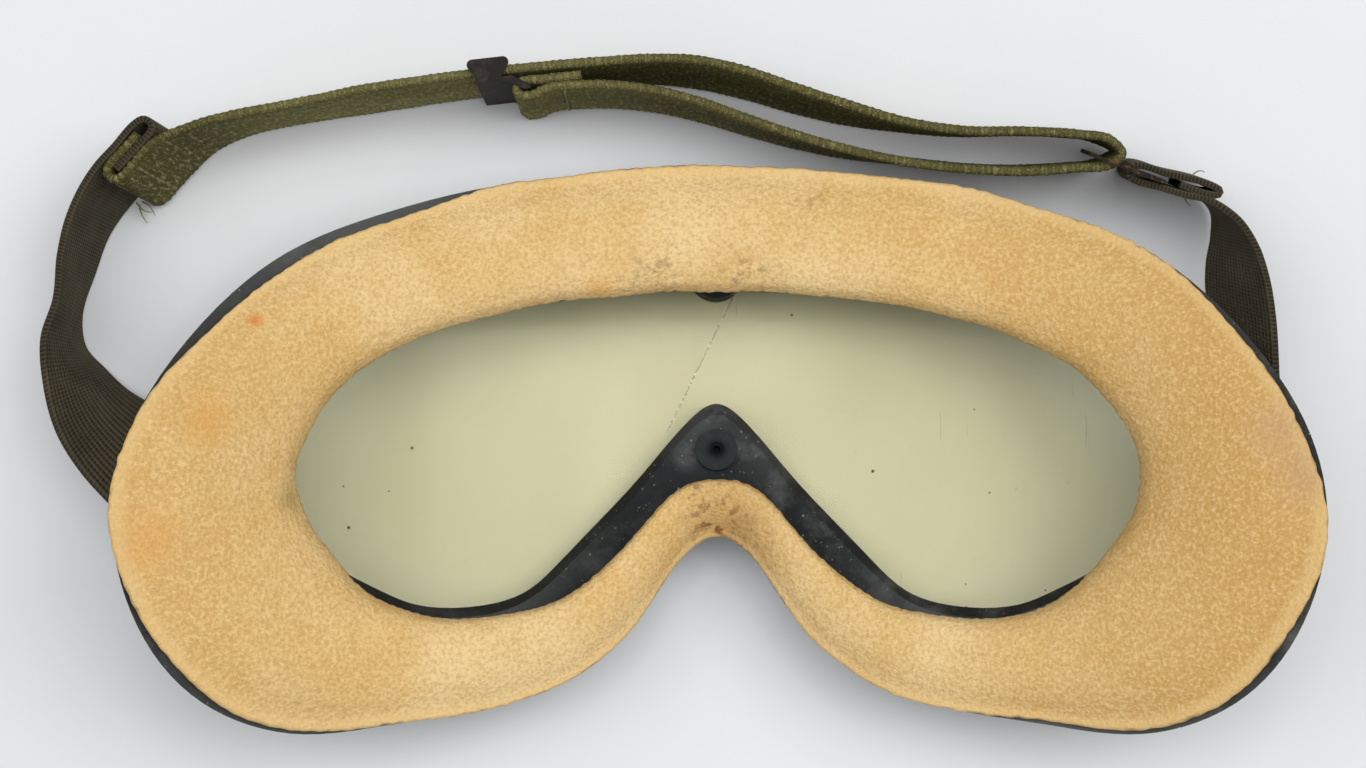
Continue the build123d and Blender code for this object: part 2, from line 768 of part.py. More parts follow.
def right_elastic():
    """Elastic from its tucked end, round the ring, and down to the right lug."""
    tail = [fold_point(fold_tail_start, fold_tail), fold_point(fold_reach, fold_tail)]
    tail_turn = (fold_outer - fold_tail) / 2
    tail_middle = fold_point(fold_reach, (fold_outer + fold_tail) / 2)
    direction = square_to(fold_along, ring_up)
    out = cross(ring_up, direction)
    tail += half_turn(tail_middle, direction, out, tail_turn, -60, 90)
    tip_turn = (fold_outer - fold_main) / 2
    tip_middle = fold_point(-fold_tip, (fold_outer + fold_main) / 2)
    tail += [fold_point(0, fold_outer)]
    tail += half_turn(tip_middle, direction, out, tip_turn, 90, 270)
    tail += [fold_point(0, fold_main), fold_point(fold_reach / 2, fold_main)]
    route = [(point, ring_up) for point in tail]
    route += strap_route(right_elastic_shares) + slant_fold() + lug_loop(1)
    return band(route, elastic_thickness)


def left_elastic():
    """Elastic from its tucked end in the join, round, and down to the left lug."""
    tail = webbing_thickness / 2 + layer_gap + elastic_thickness / 2
    outer = tail + elastic_step
    turn_middle = join_point(join_grip + hook_turn, (tail + outer) / 2)
    hook = [join_point(hook_turn + layer_gap, tail), join_point(join_grip, tail)]
    hook += half_turn(turn_middle, join_along, join_out, elastic_step / 2, -90, 90)
    hook += [join_point(join_grip / 2, outer), join_point(0, outer)]
    route = [(point, join_up) for point in hook]
    return band(route + strap_route(left_elastic_shares) + lug_loop(-1), elastic_thickness)


def stitches(place, along, up, facing):
    """Row of short thread bars up the strap, lying on one face of it."""
    pitch = strap_width / (stitch_rows + 1)
    bars = []
    for k in range(stitch_rows):
        lift = (k - (stitch_rows - 1) / 2) * pitch
        middle = move(place, (up, lift), (facing, thread / 2 + layer_gap))
        bars.append(framed_box(middle, along, up, (thread, thread, stitch_length)))
    return Compound(bars)


def stitch_groups():
    """Thread of each sewn joint, one row on each outer face."""
    main_face = -webbing_thickness / 2
    outer_face = webbing_thickness / 2 + 3 * layer_gap + 2 * elastic_thickness + webbing_thickness
    inward = tuple(-v for v in join_out)
    join = [
        stitches(join_point(join_grip / 2, main_face), join_along, join_up, inward),
        stitches(join_point(join_grip / 2, outer_face), join_along, join_up, join_out),
    ]
    direction = square_to(fold_along, ring_up)
    out = cross(ring_up, direction)
    fold_side = (fold_tail_start + fold_reach) / 2
    fold = [stitches(fold_point(fold_side, fold_outer + elastic_thickness / 2),
                     direction, ring_up, out)]
    inner = tail_out - webbing_thickness - layer_gap - webbing_thickness / 2
    sewn = adjuster_point(fold_start + (settle_length + tail_length) / 2, inner)
    facing = tuple(-v for v in straight_out)
    return {
        "join_stitching": Compound(join),
        "fold_stitching": Compound(fold),
        "return_stitching": stitches(sewn, straight_along, straight_up, facing),
    }


def lug_stitching(side):
    """Row of thread along Y outside the two layers that hang from the lug."""
    face = lug_reach + lug_drape + elastic_thickness / 2
    height = lug_rise - slot_gap - elastic_thickness - lug_tail / 2
    place = (side * face, lug_middle, height)
    return stitches(place, (0, 0, 1), (0, 1, 0), (side, 0, 0))


nodes = {
    "frame": frame(),
    "lens": lens(),
    "face_pad": ring_of(pad_corners),
    "leather_cover": ring_of(leather_corners),
    **brow_snap,
    **nose_snap,
    "webbing": webbing(),
    "return_run": return_run(),
    "adjuster": adjuster(),
    "ring": ring(),
    "right_elastic": right_elastic(),
    "left_elastic": left_elastic(),
    **stitch_groups(),
    "right_lug_stitching": lug_stitching(1),
    "left_lug_stitching": lug_stitching(-1),
}

os.makedirs("parts", exist_ok=True)
for name, shape in nodes.items():
    export_step(shape, f"parts/{name}.step")
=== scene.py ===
import math

import bpy
import numpy as np
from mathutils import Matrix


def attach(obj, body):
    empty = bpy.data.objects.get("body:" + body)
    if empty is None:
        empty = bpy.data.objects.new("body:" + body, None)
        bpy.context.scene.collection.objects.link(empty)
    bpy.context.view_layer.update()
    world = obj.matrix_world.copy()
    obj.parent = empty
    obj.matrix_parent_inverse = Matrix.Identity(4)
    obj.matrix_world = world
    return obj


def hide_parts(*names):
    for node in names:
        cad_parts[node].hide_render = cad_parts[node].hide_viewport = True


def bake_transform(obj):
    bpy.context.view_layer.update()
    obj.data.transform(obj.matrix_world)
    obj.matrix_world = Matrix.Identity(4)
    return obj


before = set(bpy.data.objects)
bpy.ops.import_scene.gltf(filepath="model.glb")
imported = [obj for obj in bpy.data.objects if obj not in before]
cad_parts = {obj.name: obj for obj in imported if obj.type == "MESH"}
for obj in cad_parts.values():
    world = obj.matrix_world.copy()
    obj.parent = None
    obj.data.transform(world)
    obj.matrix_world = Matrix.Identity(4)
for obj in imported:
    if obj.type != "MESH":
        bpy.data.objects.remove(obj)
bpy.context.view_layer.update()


# Camera, table and light. The goggles were laid on a pale painted table and taken from
# straight above, leaning six degrees towards the brow, in soft light from all round.
camera = bpy.data.objects.new("camera", bpy.data.cameras.new("camera"))
bpy.context.scene.collection.objects.link(camera)
camera.data.lens = 81.0
camera.data.sensor_width = 36.0
camera.location = (-0.0056, -0.042718, 0.520)
camera.rotation_euler = (math.radians(6.0), 0.0, 0.0)
bpy.context.scene.camera = camera
bpy.context.scene.view_settings.view_transform = "Standard"


def shade(red, green, blue):
    """Linear colour of a paint given by its screen values, 0 to 255."""
    screen = np.array([red, green, blue]) / 255
    linear = np.where(screen > 0.04045, ((screen + 0.055) / 1.055) ** 2.4, screen / 12.92)
    return (*linear.tolist(), 1.0)


def put(tree, kind, feeds=None, out=0, **options):
    """Adds a shader node, sets its options, feeds its sockets and gives one of its outputs."""
    made = tree.nodes.new("ShaderNode" + kind)
    for option, value in options.items():
        setattr(made, option, value)
    for socket, value in (feeds or {}).items():
        if isinstance(value, bpy.types.NodeSocket):
            tree.links.new(value, made.inputs[socket])
        else:
            made.inputs[socket].default_value = value
    return made.outputs[out]


def noise(tree, where, scale, detail=4.0, rough=0.55):
    """Cloudy pattern from 0 to 1, with about scale lumps to the metre."""
    feeds = {"Vector": where, "Scale": scale, "Detail": detail, "Roughness": rough}
    return put(tree, "TexNoise", feeds)


def between(tree, value, low, high, start=0.0, end=1.0):
    """Stretches the part of a pattern between low and high to start and end."""
    return put(tree, "MapRange", {0: value, 1: low, 2: high, 3: start, 4: end})


def sums(tree, how, first, second=0.0):
    """One sum of two numbers or patterns."""
    return put(tree, "Math", {0: first, 1: second}, operation=how)


def times(tree, first, second):
    """Product of two numbers or patterns."""
    return sums(tree, "MULTIPLY", first, second)


def blended(tree, share, under, over):
    """Colour under, covered by the colour over as far as share says."""
    return put(tree, "Mix", {0: share, 6: under, 7: over}, out=2, data_type="RGBA")


def substance(name, **sockets):
    """New material whose shader has its plain sockets set: gives it, its tree and shader."""
    made = bpy.data.materials.new(name)
    made.use_nodes = True
    shader = made.node_tree.nodes["Principled BSDF"]
    for socket, value in sockets.items():
        shader.inputs[socket.replace("_", " ")].default_value = value
    return made, made.node_tree, shader


def painted_table():
    """Pale bluish paint with faint clouds and a few dark specks."""
    made, tree, shader = substance("table_paint", Roughness=0.5, Specular_IOR_Level=0.25)
    place = put(tree, "TexCoord", out=3)
    clouds = between(tree, noise(tree, place, 9.0), 0.35, 0.7)
    colour = blended(tree, clouds, shade(228, 230, 233), shade(233, 235, 237))
    cells = {"Vector": place, "Scale": 85.0}
    speck = between(tree, put(tree, "TexVoronoi", cells), 0.035, 0.05, 1.0, 0.0)
    rare = between(tree, put(tree, "TexVoronoi", cells, out=1), 0.86, 0.88)
    colour = blended(tree, times(tree, speck, rare), colour, shade(92, 88, 84))
    tree.links.new(colour, shader.inputs["Base Color"])
    return made


table_mesh = bpy.data.meshes.new("table")
table_half = 1.6
table_gap = 0.0002
table_corners = [(x * table_half, y * table_half) for x, y in ((-1, -1), (1, -1), (1, 1), (-1, 1))]
table_mesh.from_pydata([(x, y, -table_gap) for x, y in table_corners], [], [(0, 1, 2, 3)])
table_mesh.materials.append(painted_table())
table = bpy.data.objects.new("table", table_mesh)
bpy.context.scene.collection.objects.link(table)

sky = bpy.data.worlds.new("soft_room")
sky.use_nodes = True
sky.node_tree.nodes["Background"].inputs["Color"].default_value = (1.0, 1.0, 1.0, 1.0)
sky.node_tree.nodes["Background"].inputs["Strength"].default_value = 0.345
bpy.context.scene.world = sky
for name, place, size, watts in (
    ("lamp_over", (0.03, 0.03, 1.25), 0.60, 6.2),
    ("lamp_left", (-0.50, 0.08, 1.05), 0.50, 2.1),
    ("lamp_right", (0.50, 0.10, 1.05), 0.50, 3.6),
):
    lamp = bpy.data.objects.new(name, bpy.data.lights.new(name, "AREA"))
    lamp.data.size = size
    lamp.data.energy = watts
    lamp.location = place
    lamp.visible_glossy = False
    bpy.context.scene.collection.objects.link(lamp)
    x, y, z = place
    lamp.rotation_euler = (math.atan2(math.hypot(x, y), z), 0.0, math.atan2(x, -y))


# Rubber frame. Moulded black rubber in one piece: a flange on the face side, a side wall,
# a groove that grips the lens and a web over the nose. Old rubber, dusty and scuffed.
def level(tree, place, axis):
    """One of the three numbers of a place or a direction."""
    return put(tree, "SeparateXYZ", {0: place}, out=axis)


def relief(tree, height, strength, depth):
    """Bumps from a height pattern, depth metres tall where it is one."""
    return put(tree, "Bump", {"Height": height, "Strength": strength, "Distance": depth})


def near(tree, place, spot, inner, outer):
    """One within the inner distance of a spot, falling to zero at the outer one."""
    away = put(tree, "VectorMath", {0: place, 1: spot}, out=1, operation="DISTANCE")
    return between(tree, away, inner, outer, 1.0, 0.0)


def old_rubber():
    """Blue-black rubber, brownish on its slopes, grey with dust in patches, with pale grit, and
    a pale line on the rounded ridges that is painted highlight and dust together.
    """
    made, tree, shader = substance("old_rubber", Specular_IOR_Level=0.3)
    place = put(tree, "TexCoord", out=3)
    slope = level(tree, put(tree, "TexCoord", out=1), 2)
    dust = between(tree, noise(tree, place, 170.0, 8.0, 0.7), 0.46, 0.80)
    broad = between(tree, noise(tree, place, 38.0), 0.42, 0.68)
    colour = blended(tree, between(tree, slope, 0.55, 0.93), shade(40, 40, 35), shade(38, 41, 42))
    # Painted highlight with dust: a pale line where the flat of the web rounds over into its slopes.
    rounding = between(tree, slope, 0.86, 0.94)
    ridge_highlight_and_dust = times(tree, rounding, between(tree, slope, 0.96, 0.99, 1.0, 0.0))
    colour = blended(tree, times(tree, ridge_highlight_and_dust, 0.5), colour, shade(104, 106, 104))
    colour = blended(tree, times(tree, dust, broad), colour, shade(112, 113, 110))
    caked = times(tree, between(tree, dust, 0.0, 0.6, 0.25, 1.0), 0.62)
    for beside_snap in ((0.0105, 0.0008, 0.006), (-0.0028, 0.0042, 0.008)):
        patch = times(tree, near(tree, place, beside_snap, 0.001, 0.009), caked)
        colour = blended(tree, patch, colour, shade(140, 142, 140))
    grit = between(tree, noise(tree, place, 1500.0, 3.0, 0.6), 0.68, 0.72)
    colour = blended(tree, times(tree, grit, 0.8), colour, shade(176, 174, 160))
    tree.links.new(colour, shader.inputs["Base Color"])
    tree.links.new(between(tree, dust, 0.0, 1.0, 0.45, 0.75), shader.inputs["Roughness"])
    fine = noise(tree, place, 700.0, 6.0, 0.65)
    tree.links.new(relief(tree, fine, 0.35, 0.0003), shader.inputs["Normal"])
    return made


def dress(node, material):
    """Gives a carried-over CAD node its material."""
    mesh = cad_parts[node].data
    mesh.materials.clear()
    mesh.materials.append(material)


dress("frame", old_rubber())


# Lens. One sheet of clear plastic, yellowed to a pale olive, bent into the groove. It is
# finely scratched, carries specks of dirt, and has a dotted crease from the brow to the nose.
crease_run = (0.4351, 0.9004, 0.0)
crease_side = (0.9004, -0.4351, 0.0)
crease_offset = -0.00887
crease_end = -0.00103
crease_fade = 0.002


def yellowed_plastic():
    """Clear sheet with an olive tint; specks, the crease and fine scratches are less clear."""
    made, tree, shader = substance("yellowed_plastic", Roughness=0.12, IOR=1.2)
    place = put(tree, "TexCoord", out=3)
    tint = between(tree, noise(tree, place, 30.0), 0.3, 0.7)
    colour = blended(tree, tint, shade(245, 241, 213), shade(251, 248, 221))
    cells = {"Vector": place, "Scale": 300.0}
    speck = between(tree, put(tree, "TexVoronoi", cells), 0.05, 0.10, 1.0, 0.0)
    rare = between(tree, put(tree, "TexVoronoi", cells, out=1), 0.84, 0.87)
    dirt = times(tree, speck, rare)
    fine = {"Vector": place, "Scale": 800.0}
    mote = between(tree, put(tree, "TexVoronoi", fine), 0.08, 0.16, 0.8, 0.0)
    few = between(tree, put(tree, "TexVoronoi", fine, out=1), 0.93, 0.95)
    dirt = sums(tree, "MAXIMUM", dirt, times(tree, mote, few))
    beside = put(tree, "VectorMath", {0: place, 1: crease_side}, out=1, operation="DOT_PRODUCT")
    beside = sums(tree, "ABSOLUTE", sums(tree, "SUBTRACT", beside, crease_offset))
    down = put(tree, "VectorMath", {0: place, 1: crease_run}, out=1, operation="DOT_PRODUCT")
    line = between(tree, beside, 0.00005, 0.0002, 0.45, 0.0)
    crease = times(tree, line, between(tree, down, crease_end, crease_end + crease_fade))
    dots = between(tree, noise(tree, place, 1400.0, 2.0), 0.46, 0.56)
    dirt = sums(tree, "MAXIMUM", dirt, times(tree, crease, dots))
    lengthwise = {"Vector": place, "Rotation": (0.0, 0.0, 0.45), "Scale": (1.0, 0.06, 1.0)}
    long = put(tree, "Mapping", lengthwise)
    scratch = between(tree, noise(tree, long, 900.0, 3.0, 0.5), 0.70, 0.74, 0.0, 0.4)
    where = between(tree, noise(tree, place, 60.0, 2.0), 0.55, 0.62)
    scratch = times(tree, scratch, where)
    colour = blended(tree, scratch, colour, shade(190, 184, 150))
    colour = blended(tree, dirt, colour, shade(84, 68, 34))
    tree.links.new(colour, shader.inputs["Base Color"])
    dull = sums(tree, "MAXIMUM", dirt, times(tree, scratch, 0.5))
    clear = sums(tree, "SUBTRACT", 1.0, dull)
    tree.links.new(clear, shader.inputs["Transmission Weight"])
    return made


dress("lens", yellowed_plastic())


# Foam pad. A ring of sponge rubber cemented to the flange; it only shows as the swelling of
# the leather over it.
face_half_width = 0.092
face_height = 0.0915
face_radius = 0.165
face_rise = 0.023
nose_roll = 0.007
flange_reveal = 0.0013
crown_height = 0.0054
crown_reference_width = 0.025
inner_roll_share = 0.35
leather_thickness = 0.0011
pad_gap = 0.00025
# Outer edge x, y and inner edge x, y of the leather, and how far the nose rolls forward
station_shares = np.array([
    (0.000, 0.492, 0.000, 0.273, 0.0),
    (0.217, 0.480, 0.190, 0.263, 0.0),
    (0.418, 0.447, 0.359, 0.236, 0.0),
    (0.592, 0.387, 0.500, 0.191, 0.0),
    (0.755, 0.295, 0.620, 0.126, 0.0),
    (0.886, 0.153, 0.691, 0.042, 0.0),
    (0.982, -0.033, 0.727, -0.060, 0.0),
    (1.000, -0.175, 0.715, -0.131, 0.0),
    (0.957, -0.328, 0.674, -0.195, 0.0),
    (0.853, -0.456, 0.614, -0.262, 0.0),
    (0.717, -0.507, 0.549, -0.297, 0.0),
    (0.565, -0.496, 0.467, -0.314, 0.0),
    (0.402, -0.472, 0.359, -0.304, 0.05),
    (0.266, -0.424, 0.277, -0.279, 0.25),
    (0.174, -0.353, 0.201, -0.223, 0.50),
    (0.098, -0.254, 0.114, -0.127, 0.80),
    (0.046, -0.184, 0.049, -0.073, 0.95),
    (0.000, -0.162, 0.000, -0.064, 1.0),
])
crown_shares = np.array([
    (0.00, 0.24), (0.03, 0.52), (0.10, 0.78), (0.24, 0.95), (0.44, 1.00), (0.64, 0.90),
    (0.78, 0.70), (0.86, 0.52), (0.91, 0.44), (0.96, 0.40), (0.99, 0.34), (1.00, 0.24),
])
half = np.column_stack([
    station_shares[:, :4] * (face_half_width, face_height, face_half_width, face_height),
    station_shares[:, 4] * nose_roll,
])
all_round = np.vstack([half, half[-2:0:-1] * (-1, 1, -1, 1, 1)])
outer_edge, inner_edge, rolled = all_round[:, :2], all_round[:, 2:4], all_round[:, 4]
leather_width = np.linalg.norm(outer_edge - inner_edge, axis=1)
outward = (outer_edge - inner_edge) / leather_width[:, None]
middle_line = (outer_edge + inner_edge) / 2
steps_round = np.linalg.norm(np.roll(middle_line, -1, axis=0) - middle_line, axis=1)
marks = np.concatenate([[0.0], np.cumsum(steps_round)])


def smooth_through(where, values, at):
    """Smooth line through rows: between two rows a cubic whose slopes at its ends are those
    of the parabolas through three neighbouring rows."""
    shape = (-1, *[1] * (values.ndim - 1))
    gaps = np.diff(where)
    weight = gaps.reshape(shape)
    rises = np.diff(values, axis=0) / weight
    inner = (rises[:-1] * weight[1:] + rises[1:] * weight[:-1]) / (weight[1:] + weight[:-1])
    slopes = np.concatenate([rises[:1], inner, rises[-1:]])
    k = np.clip(np.searchsorted(where, at, side="right") - 1, 0, len(gaps) - 1)
    t, h = ((at - where[k]) / gaps[k]).reshape(shape), gaps[k].reshape(shape)
    line = values[k] * (1 + 2 * t) * (1 - t) ** 2 + slopes[k] * h * t * (1 - t) ** 2
    return line + values[k + 1] * t**2 * (3 - 2 * t) + slopes[k + 1] * h * t**2 * (t - 1)


def round_the_ring(values, count):
    """Closed cubic spline, without a kink in slope or bend, through a value at every
    station, read at count even places round the ring."""
    gaps, total = np.diff(marks), len(values)
    flat = values.reshape(total, -1)
    before, after = np.roll(gaps, 1), gaps
    system = np.diag(2 * (before + after))
    rows = np.arange(total)
    system[rows, (rows + 1) % total] += after
    system[rows, (rows - 1) % total] += before
    rise = (np.roll(flat, -1, axis=0) - flat) / after[:, None]
    bends = np.linalg.solve(system, 6 * (rise - np.roll(rise, 1, axis=0)))
    at = np.linspace(0, marks[-1], count, endpoint=False)
    k = np.clip(np.searchsorted(marks, at, side="right") - 1, 0, total - 1)
    h, b = gaps[k][:, None], ((at - marks[k]) / gaps[k])[:, None]
    a, following = 1 - b, (k + 1) % total
    line = a * flat[k] + b * flat[following]
    line += ((a**3 - a) * bends[k] + (b**3 - b) * bends[following]) * h**2 / 6
    return line.reshape(count, *values.shape[1:])


def face_height_at(x):
    """Height of the cylinder that the face side follows: its rise and a circle's drop."""
    return face_rise + face_radius - np.sqrt(face_radius**2 - x**2)


def on_seat(reach, height):
    """Points over the flange at every station: a reach from the leather's inner edge along
    the line to its outer edge, and a height above the straight seat between the two."""
    edge = (leather_width + flange_reveal)[:, None]
    plan = inner_edge[:, None] + outward[:, None] * reach[..., None]
    outer_x = inner_edge[:, :1] + outward[:, :1] * edge
    low = face_height_at(inner_edge[:, :1]) - rolled[:, None] * inner_roll_share
    high = face_height_at(outer_x) - rolled[:, None]
    tall = low + (high - low) * reach / edge + height
    return np.concatenate([plan, tall[..., None]], axis=-1)


def crown_over(share):
    """Height of the leather's upper side over the seat, a share of the way across."""
    tall = crown_height * np.sqrt(leather_width / crown_reference_width)[:, None]
    rise = smooth_through(crown_shares[:, 0], crown_shares[:, 1], share.ravel())
    return pad_gap + tall * rise.reshape(share.shape)


def skin(name, grids, material, rings=None, uv=None, **tags):
    """Mesh over grids of points, each with rows along a piece and columns closed round its
    section. The rows of a ring close on themselves, the two ends of a strip get a cap.
    Faces are turned outwards by the sign of the volume that they enclose."""
    corners, faces, start = [], [], 0
    for grid, closed in zip(grids, rings or [False] * len(grids)):
        rows, columns = grid.shape[:2]
        index = start + np.arange(rows * columns).reshape(rows, columns)
        start += rows * columns
        ahead = np.roll(index, -1, axis=0) if closed else index[1:]
        here = index if closed else index[:-1]
        quads = np.stack([here, np.roll(here, -1, 1), np.roll(ahead, -1, 1), ahead], axis=-1)
        quads = quads.reshape(-1, 4)
        flat = grid.reshape(-1, 3)
        a, b, c, d = (flat[quads[:, k] - index[0, 0]] for k in range(4))
        volume = (np.cross(b - a, c - a) * a).sum() + (np.cross(c - a, d - a) * a).sum()
        caps = [] if closed else [index[0][::-1], index[-1]]
        way = 1 if volume > 0 else -1
        faces += quads[:, ::way].tolist() + [cap[::way].tolist() for cap in caps]
        corners.append(flat)
    mesh = bpy.data.meshes.new(name)
    mesh.from_pydata(np.concatenate(corners), [], faces)
    mesh.shade_smooth()
    if uv is not None:
        order = np.empty(len(mesh.loops), dtype=np.int32)
        mesh.loops.foreach_get("vertex_index", order)
        layer = mesh.uv_layers.new(name="weave")
        layer.uv.foreach_set("vector", uv[order].astype(np.float32).ravel())
    for tag, values in tags.items():
        kept = mesh.attributes.new(tag, "FLOAT", "POINT")
        kept.data.foreach_set("value", values.astype(np.float32).ravel())
    mesh.materials.append(material)
    made = bpy.data.objects.new(name, mesh)
    bpy.context.scene.collection.objects.link(made)
    return made


def sponge():
    """Brown sponge rubber with open cells."""
    made, tree, shader = substance("sponge", Roughness=0.9, Specular_IOR_Level=0.2)
    place = put(tree, "TexCoord", out=3)
    cells = put(tree, "TexVoronoi", {"Vector": place, "Scale": 1400.0})
    colour = blended(tree, between(tree, cells, 0.1, 0.7), shade(96, 78, 50), shade(150, 128, 88))
    tree.links.new(colour, shader.inputs["Base Color"])
    tree.links.new(relief(tree, cells, 0.5, 0.0004), shader.inputs["Normal"])
    return made


pad_start_share = 0.065
pad_width_share = 0.85
pad_under_leather = 0.0004
pad_edge_share = 0.35
share = np.linspace(0.0, 1.0, 15)[None] * np.ones((len(leather_width), 1))
across = pad_start_share + share * pad_width_share
top_reach = across * leather_width[:, None]
top_height = crown_over(across) - leather_thickness - pad_under_leather
end_fall = np.clip(np.minimum(share, 1 - share) / 0.07, 0, 1) ** 0.5
top_height = pad_gap + (top_height - pad_gap) * (pad_edge_share + (1 - pad_edge_share) * end_fall)
top = on_seat(top_reach, top_height)
under = on_seat(top_reach[:, ::-2], np.full_like(top_reach[:, ::-2], pad_gap))
pad_grid = round_the_ring(np.concatenate([top, under], axis=1), 360)
pad = skin("foam_pad", [pad_grid], sponge(), rings=[True])
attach(pad, "goggles")
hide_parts("face_pad")


# Leather cover. One piece of tan chamois cut to the ring's outline, stretched over the pad
# and cemented to the flange inside and out; its cut edges are ragged and a little dirty.
def wander(count, slowest, fastest, seed):
    """Closed random line of unit spread: waves between two numbers of bumps round the ring,
    added with seeded sizes and phases."""
    random = np.random.default_rng(seed)
    bumps = np.arange(slowest, fastest + 1)[:, None]
    size, phase = random.normal(size=bumps.shape), random.uniform(0, 6.283, bumps.shape)
    line = (size * np.sin(bumps * np.linspace(0, 6.2832, count, endpoint=False) + phase)).sum(0)
    return line / line.std()


# Millimetres that the cut edge strays from the pattern at each station: outer edge on the
# right, outer edge on the left, inner edge
strays = 0.001 * np.array([
    (0.2, 0.1, -0.5), (0.2, 0.1, -0.5), (0.1, -0.5, -0.6), (0.4, -1.5, -0.7), (0.7, -1.3, -0.8),
    (0.0, -0.4, -0.8), (-0.3, 0.9, -0.6), (0.6, 0.6, -0.5), (-0.3, -0.1, -0.4),
    (-0.1, -0.2, -0.2),
    (-0.2, 0.0, 0.0), (-0.6, 0.0, 0.0), (0.0, 0.1, 0.0), (0.1, 0.0, 0.0), (0.0, 0.1, 0.0),
    (0.0, 0.0, 0.0), (0.0, 0.0, 0.0), (0.0, 0.0, 0.0),
])


def chamois():
    """Tan suede: pebbled nap over cloudy tones, painted shade on the cheeks, a smooth pale border
    where it is glued, a few orange stains, brown dirt worked into the middle of the brow, and
    brown at the nose that is dirt and painted shade together."""
    made, tree, shader = substance("chamois", Roughness=0.95, Specular_IOR_Level=0.1)
    place = put(tree, "TexCoord", out=3)
    across = put(tree, "Attribute", out=2, attribute_name="across")
    nap = noise(tree, place, 1700.0, 4.0, 0.62)
    pebbles = between(tree, nap, 0.34, 0.66)
    clouds = between(tree, noise(tree, place, 48.0, 5.0, 0.6), 0.36, 0.64)
    colour = blended(tree, clouds, shade(224, 186, 120), shade(238, 207, 150))
    side = level(tree, place, 0)
    # Painted shade: the cheeks darken towards the sides, the right more than the left, where their
    # outward tilt turns them from the light.
    right_cheek_painted_shade = between(tree, side, 0.035, 0.075, 0.0, 0.75)
    left_cheek_painted_shade = between(tree, side, -0.055, -0.078, 0.0, 0.55)
    colour = blended(tree, right_cheek_painted_shade, colour, shade(200, 158, 92))
    colour = blended(tree, left_cheek_painted_shade, colour, shade(206, 164, 96))
    colour = blended(tree, between(tree, pebbles, 0.0, 0.6, 0.42, 0.0), colour, shade(182, 136, 74))
    colour = blended(tree, between(tree, pebbles, 0.55, 1.0, 0.0, 0.42), colour, shade(248, 222, 170))
    border = between(tree, across, 0.89, 0.94, 0.0, 0.55)
    colour = blended(tree, border, colour, shade(233, 198, 138))
    flecks = between(tree, noise(tree, place, 620.0, 6.0, 0.7), 0.50, 0.62)
    for spot, inner, outer, paint, cover in (
        ((-0.0724, 0.0174, 0.0437), 0.0002, 0.0018, shade(222, 130, 50), 0.75),
        ((-0.0718, 0.0128, 0.0437), 0.0002, 0.0010, shade(200, 120, 60), 0.60),
        ((-0.0794, 0.0014, 0.0474), 0.0010, 0.0060, shade(222, 158, 76), 0.50),
        ((-0.0868, -0.0174, 0.0517), 0.0010, 0.0070, shade(224, 160, 84), 0.45),
        ((-0.0190, 0.0242, 0.0281), 0.0005, 0.0030, shade(230, 158, 70), 0.50),
        ((-0.0669, -0.0106, 0.0412), 0.0005, 0.0035, shade(150, 132, 70), 0.50),
        ((0.0443, 0.0249, 0.0331), 0.0002, 0.0022, shade(206, 130, 66), 0.45),
        ((0.0858, -0.0005, 0.0511), 0.0010, 0.0075, shade(196, 158, 122), 0.45),
        ((0.0890, -0.0080, 0.0530), 0.0010, 0.0060, shade(190, 152, 118), 0.45),
        # Painted shade with dirt: a broad brown tone at the bottom of the nose, where the leather
        # rolls down into the notch.
        ((0.0020, -0.0125, 0.0200), 0.0010, 0.0100, shade(170, 124, 66), 0.70),
    ):
        share = times(tree, near(tree, place, spot, inner, outer), cover)
        share = times(tree, share, between(tree, clouds, 0.0, 0.6, 0.5, 1.0))
        colour = blended(tree, share, colour, paint)
    for spot, inner, outer, paint, cover in (
        ((-0.0100, 0.0262, 0.0278), 0.0010, 0.0080, shade(130, 106, 76), 0.60),
        ((0.0050, 0.0262, 0.0275), 0.0010, 0.0080, shade(126, 102, 76), 0.65),
        ((0.0150, 0.0385, 0.0290), 0.0010, 0.0070, shade(150, 116, 74), 0.40),
        ((-0.0030, -0.0078, 0.0215), 0.0010, 0.0070, shade(146, 106, 86), 0.85),
        # The next three spots, at the bottom of the nose, are dirt and painted shade together: dark
        # brown flecks where the leather rolls down into the notch.
        ((0.0010, -0.0128, 0.0195), 0.0015, 0.0075, shade(126, 86, 42), 0.95),
        ((0.0060, -0.0095, 0.0210), 0.0005, 0.0030, shade(150, 104, 50), 0.80),
        ((0.0120, -0.0170, 0.0205), 0.0010, 0.0080, shade(150, 116, 80), 0.55),
        ((-0.0640, -0.0420, 0.0430), 0.0010, 0.0090, shade(170, 128, 74), 0.40),
    ):
        share = times(tree, near(tree, place, spot, inner, outer), cover)
        colour = blended(tree, times(tree, share, flecks), colour, paint)
    grime = between(tree, noise(tree, place, 240.0, 6.0, 0.7), 0.52, 0.66)
    rim = times(tree, between(tree, across, 0.975, 0.995), grime)
    colour = blended(tree, times(tree, rim, 0.75), colour, shade(120, 92, 66))
    tree.links.new(colour, shader.inputs["Base Color"])
    tree.links.new(relief(tree, nap, 0.8, 0.0005), shader.inputs["Normal"])
    return made


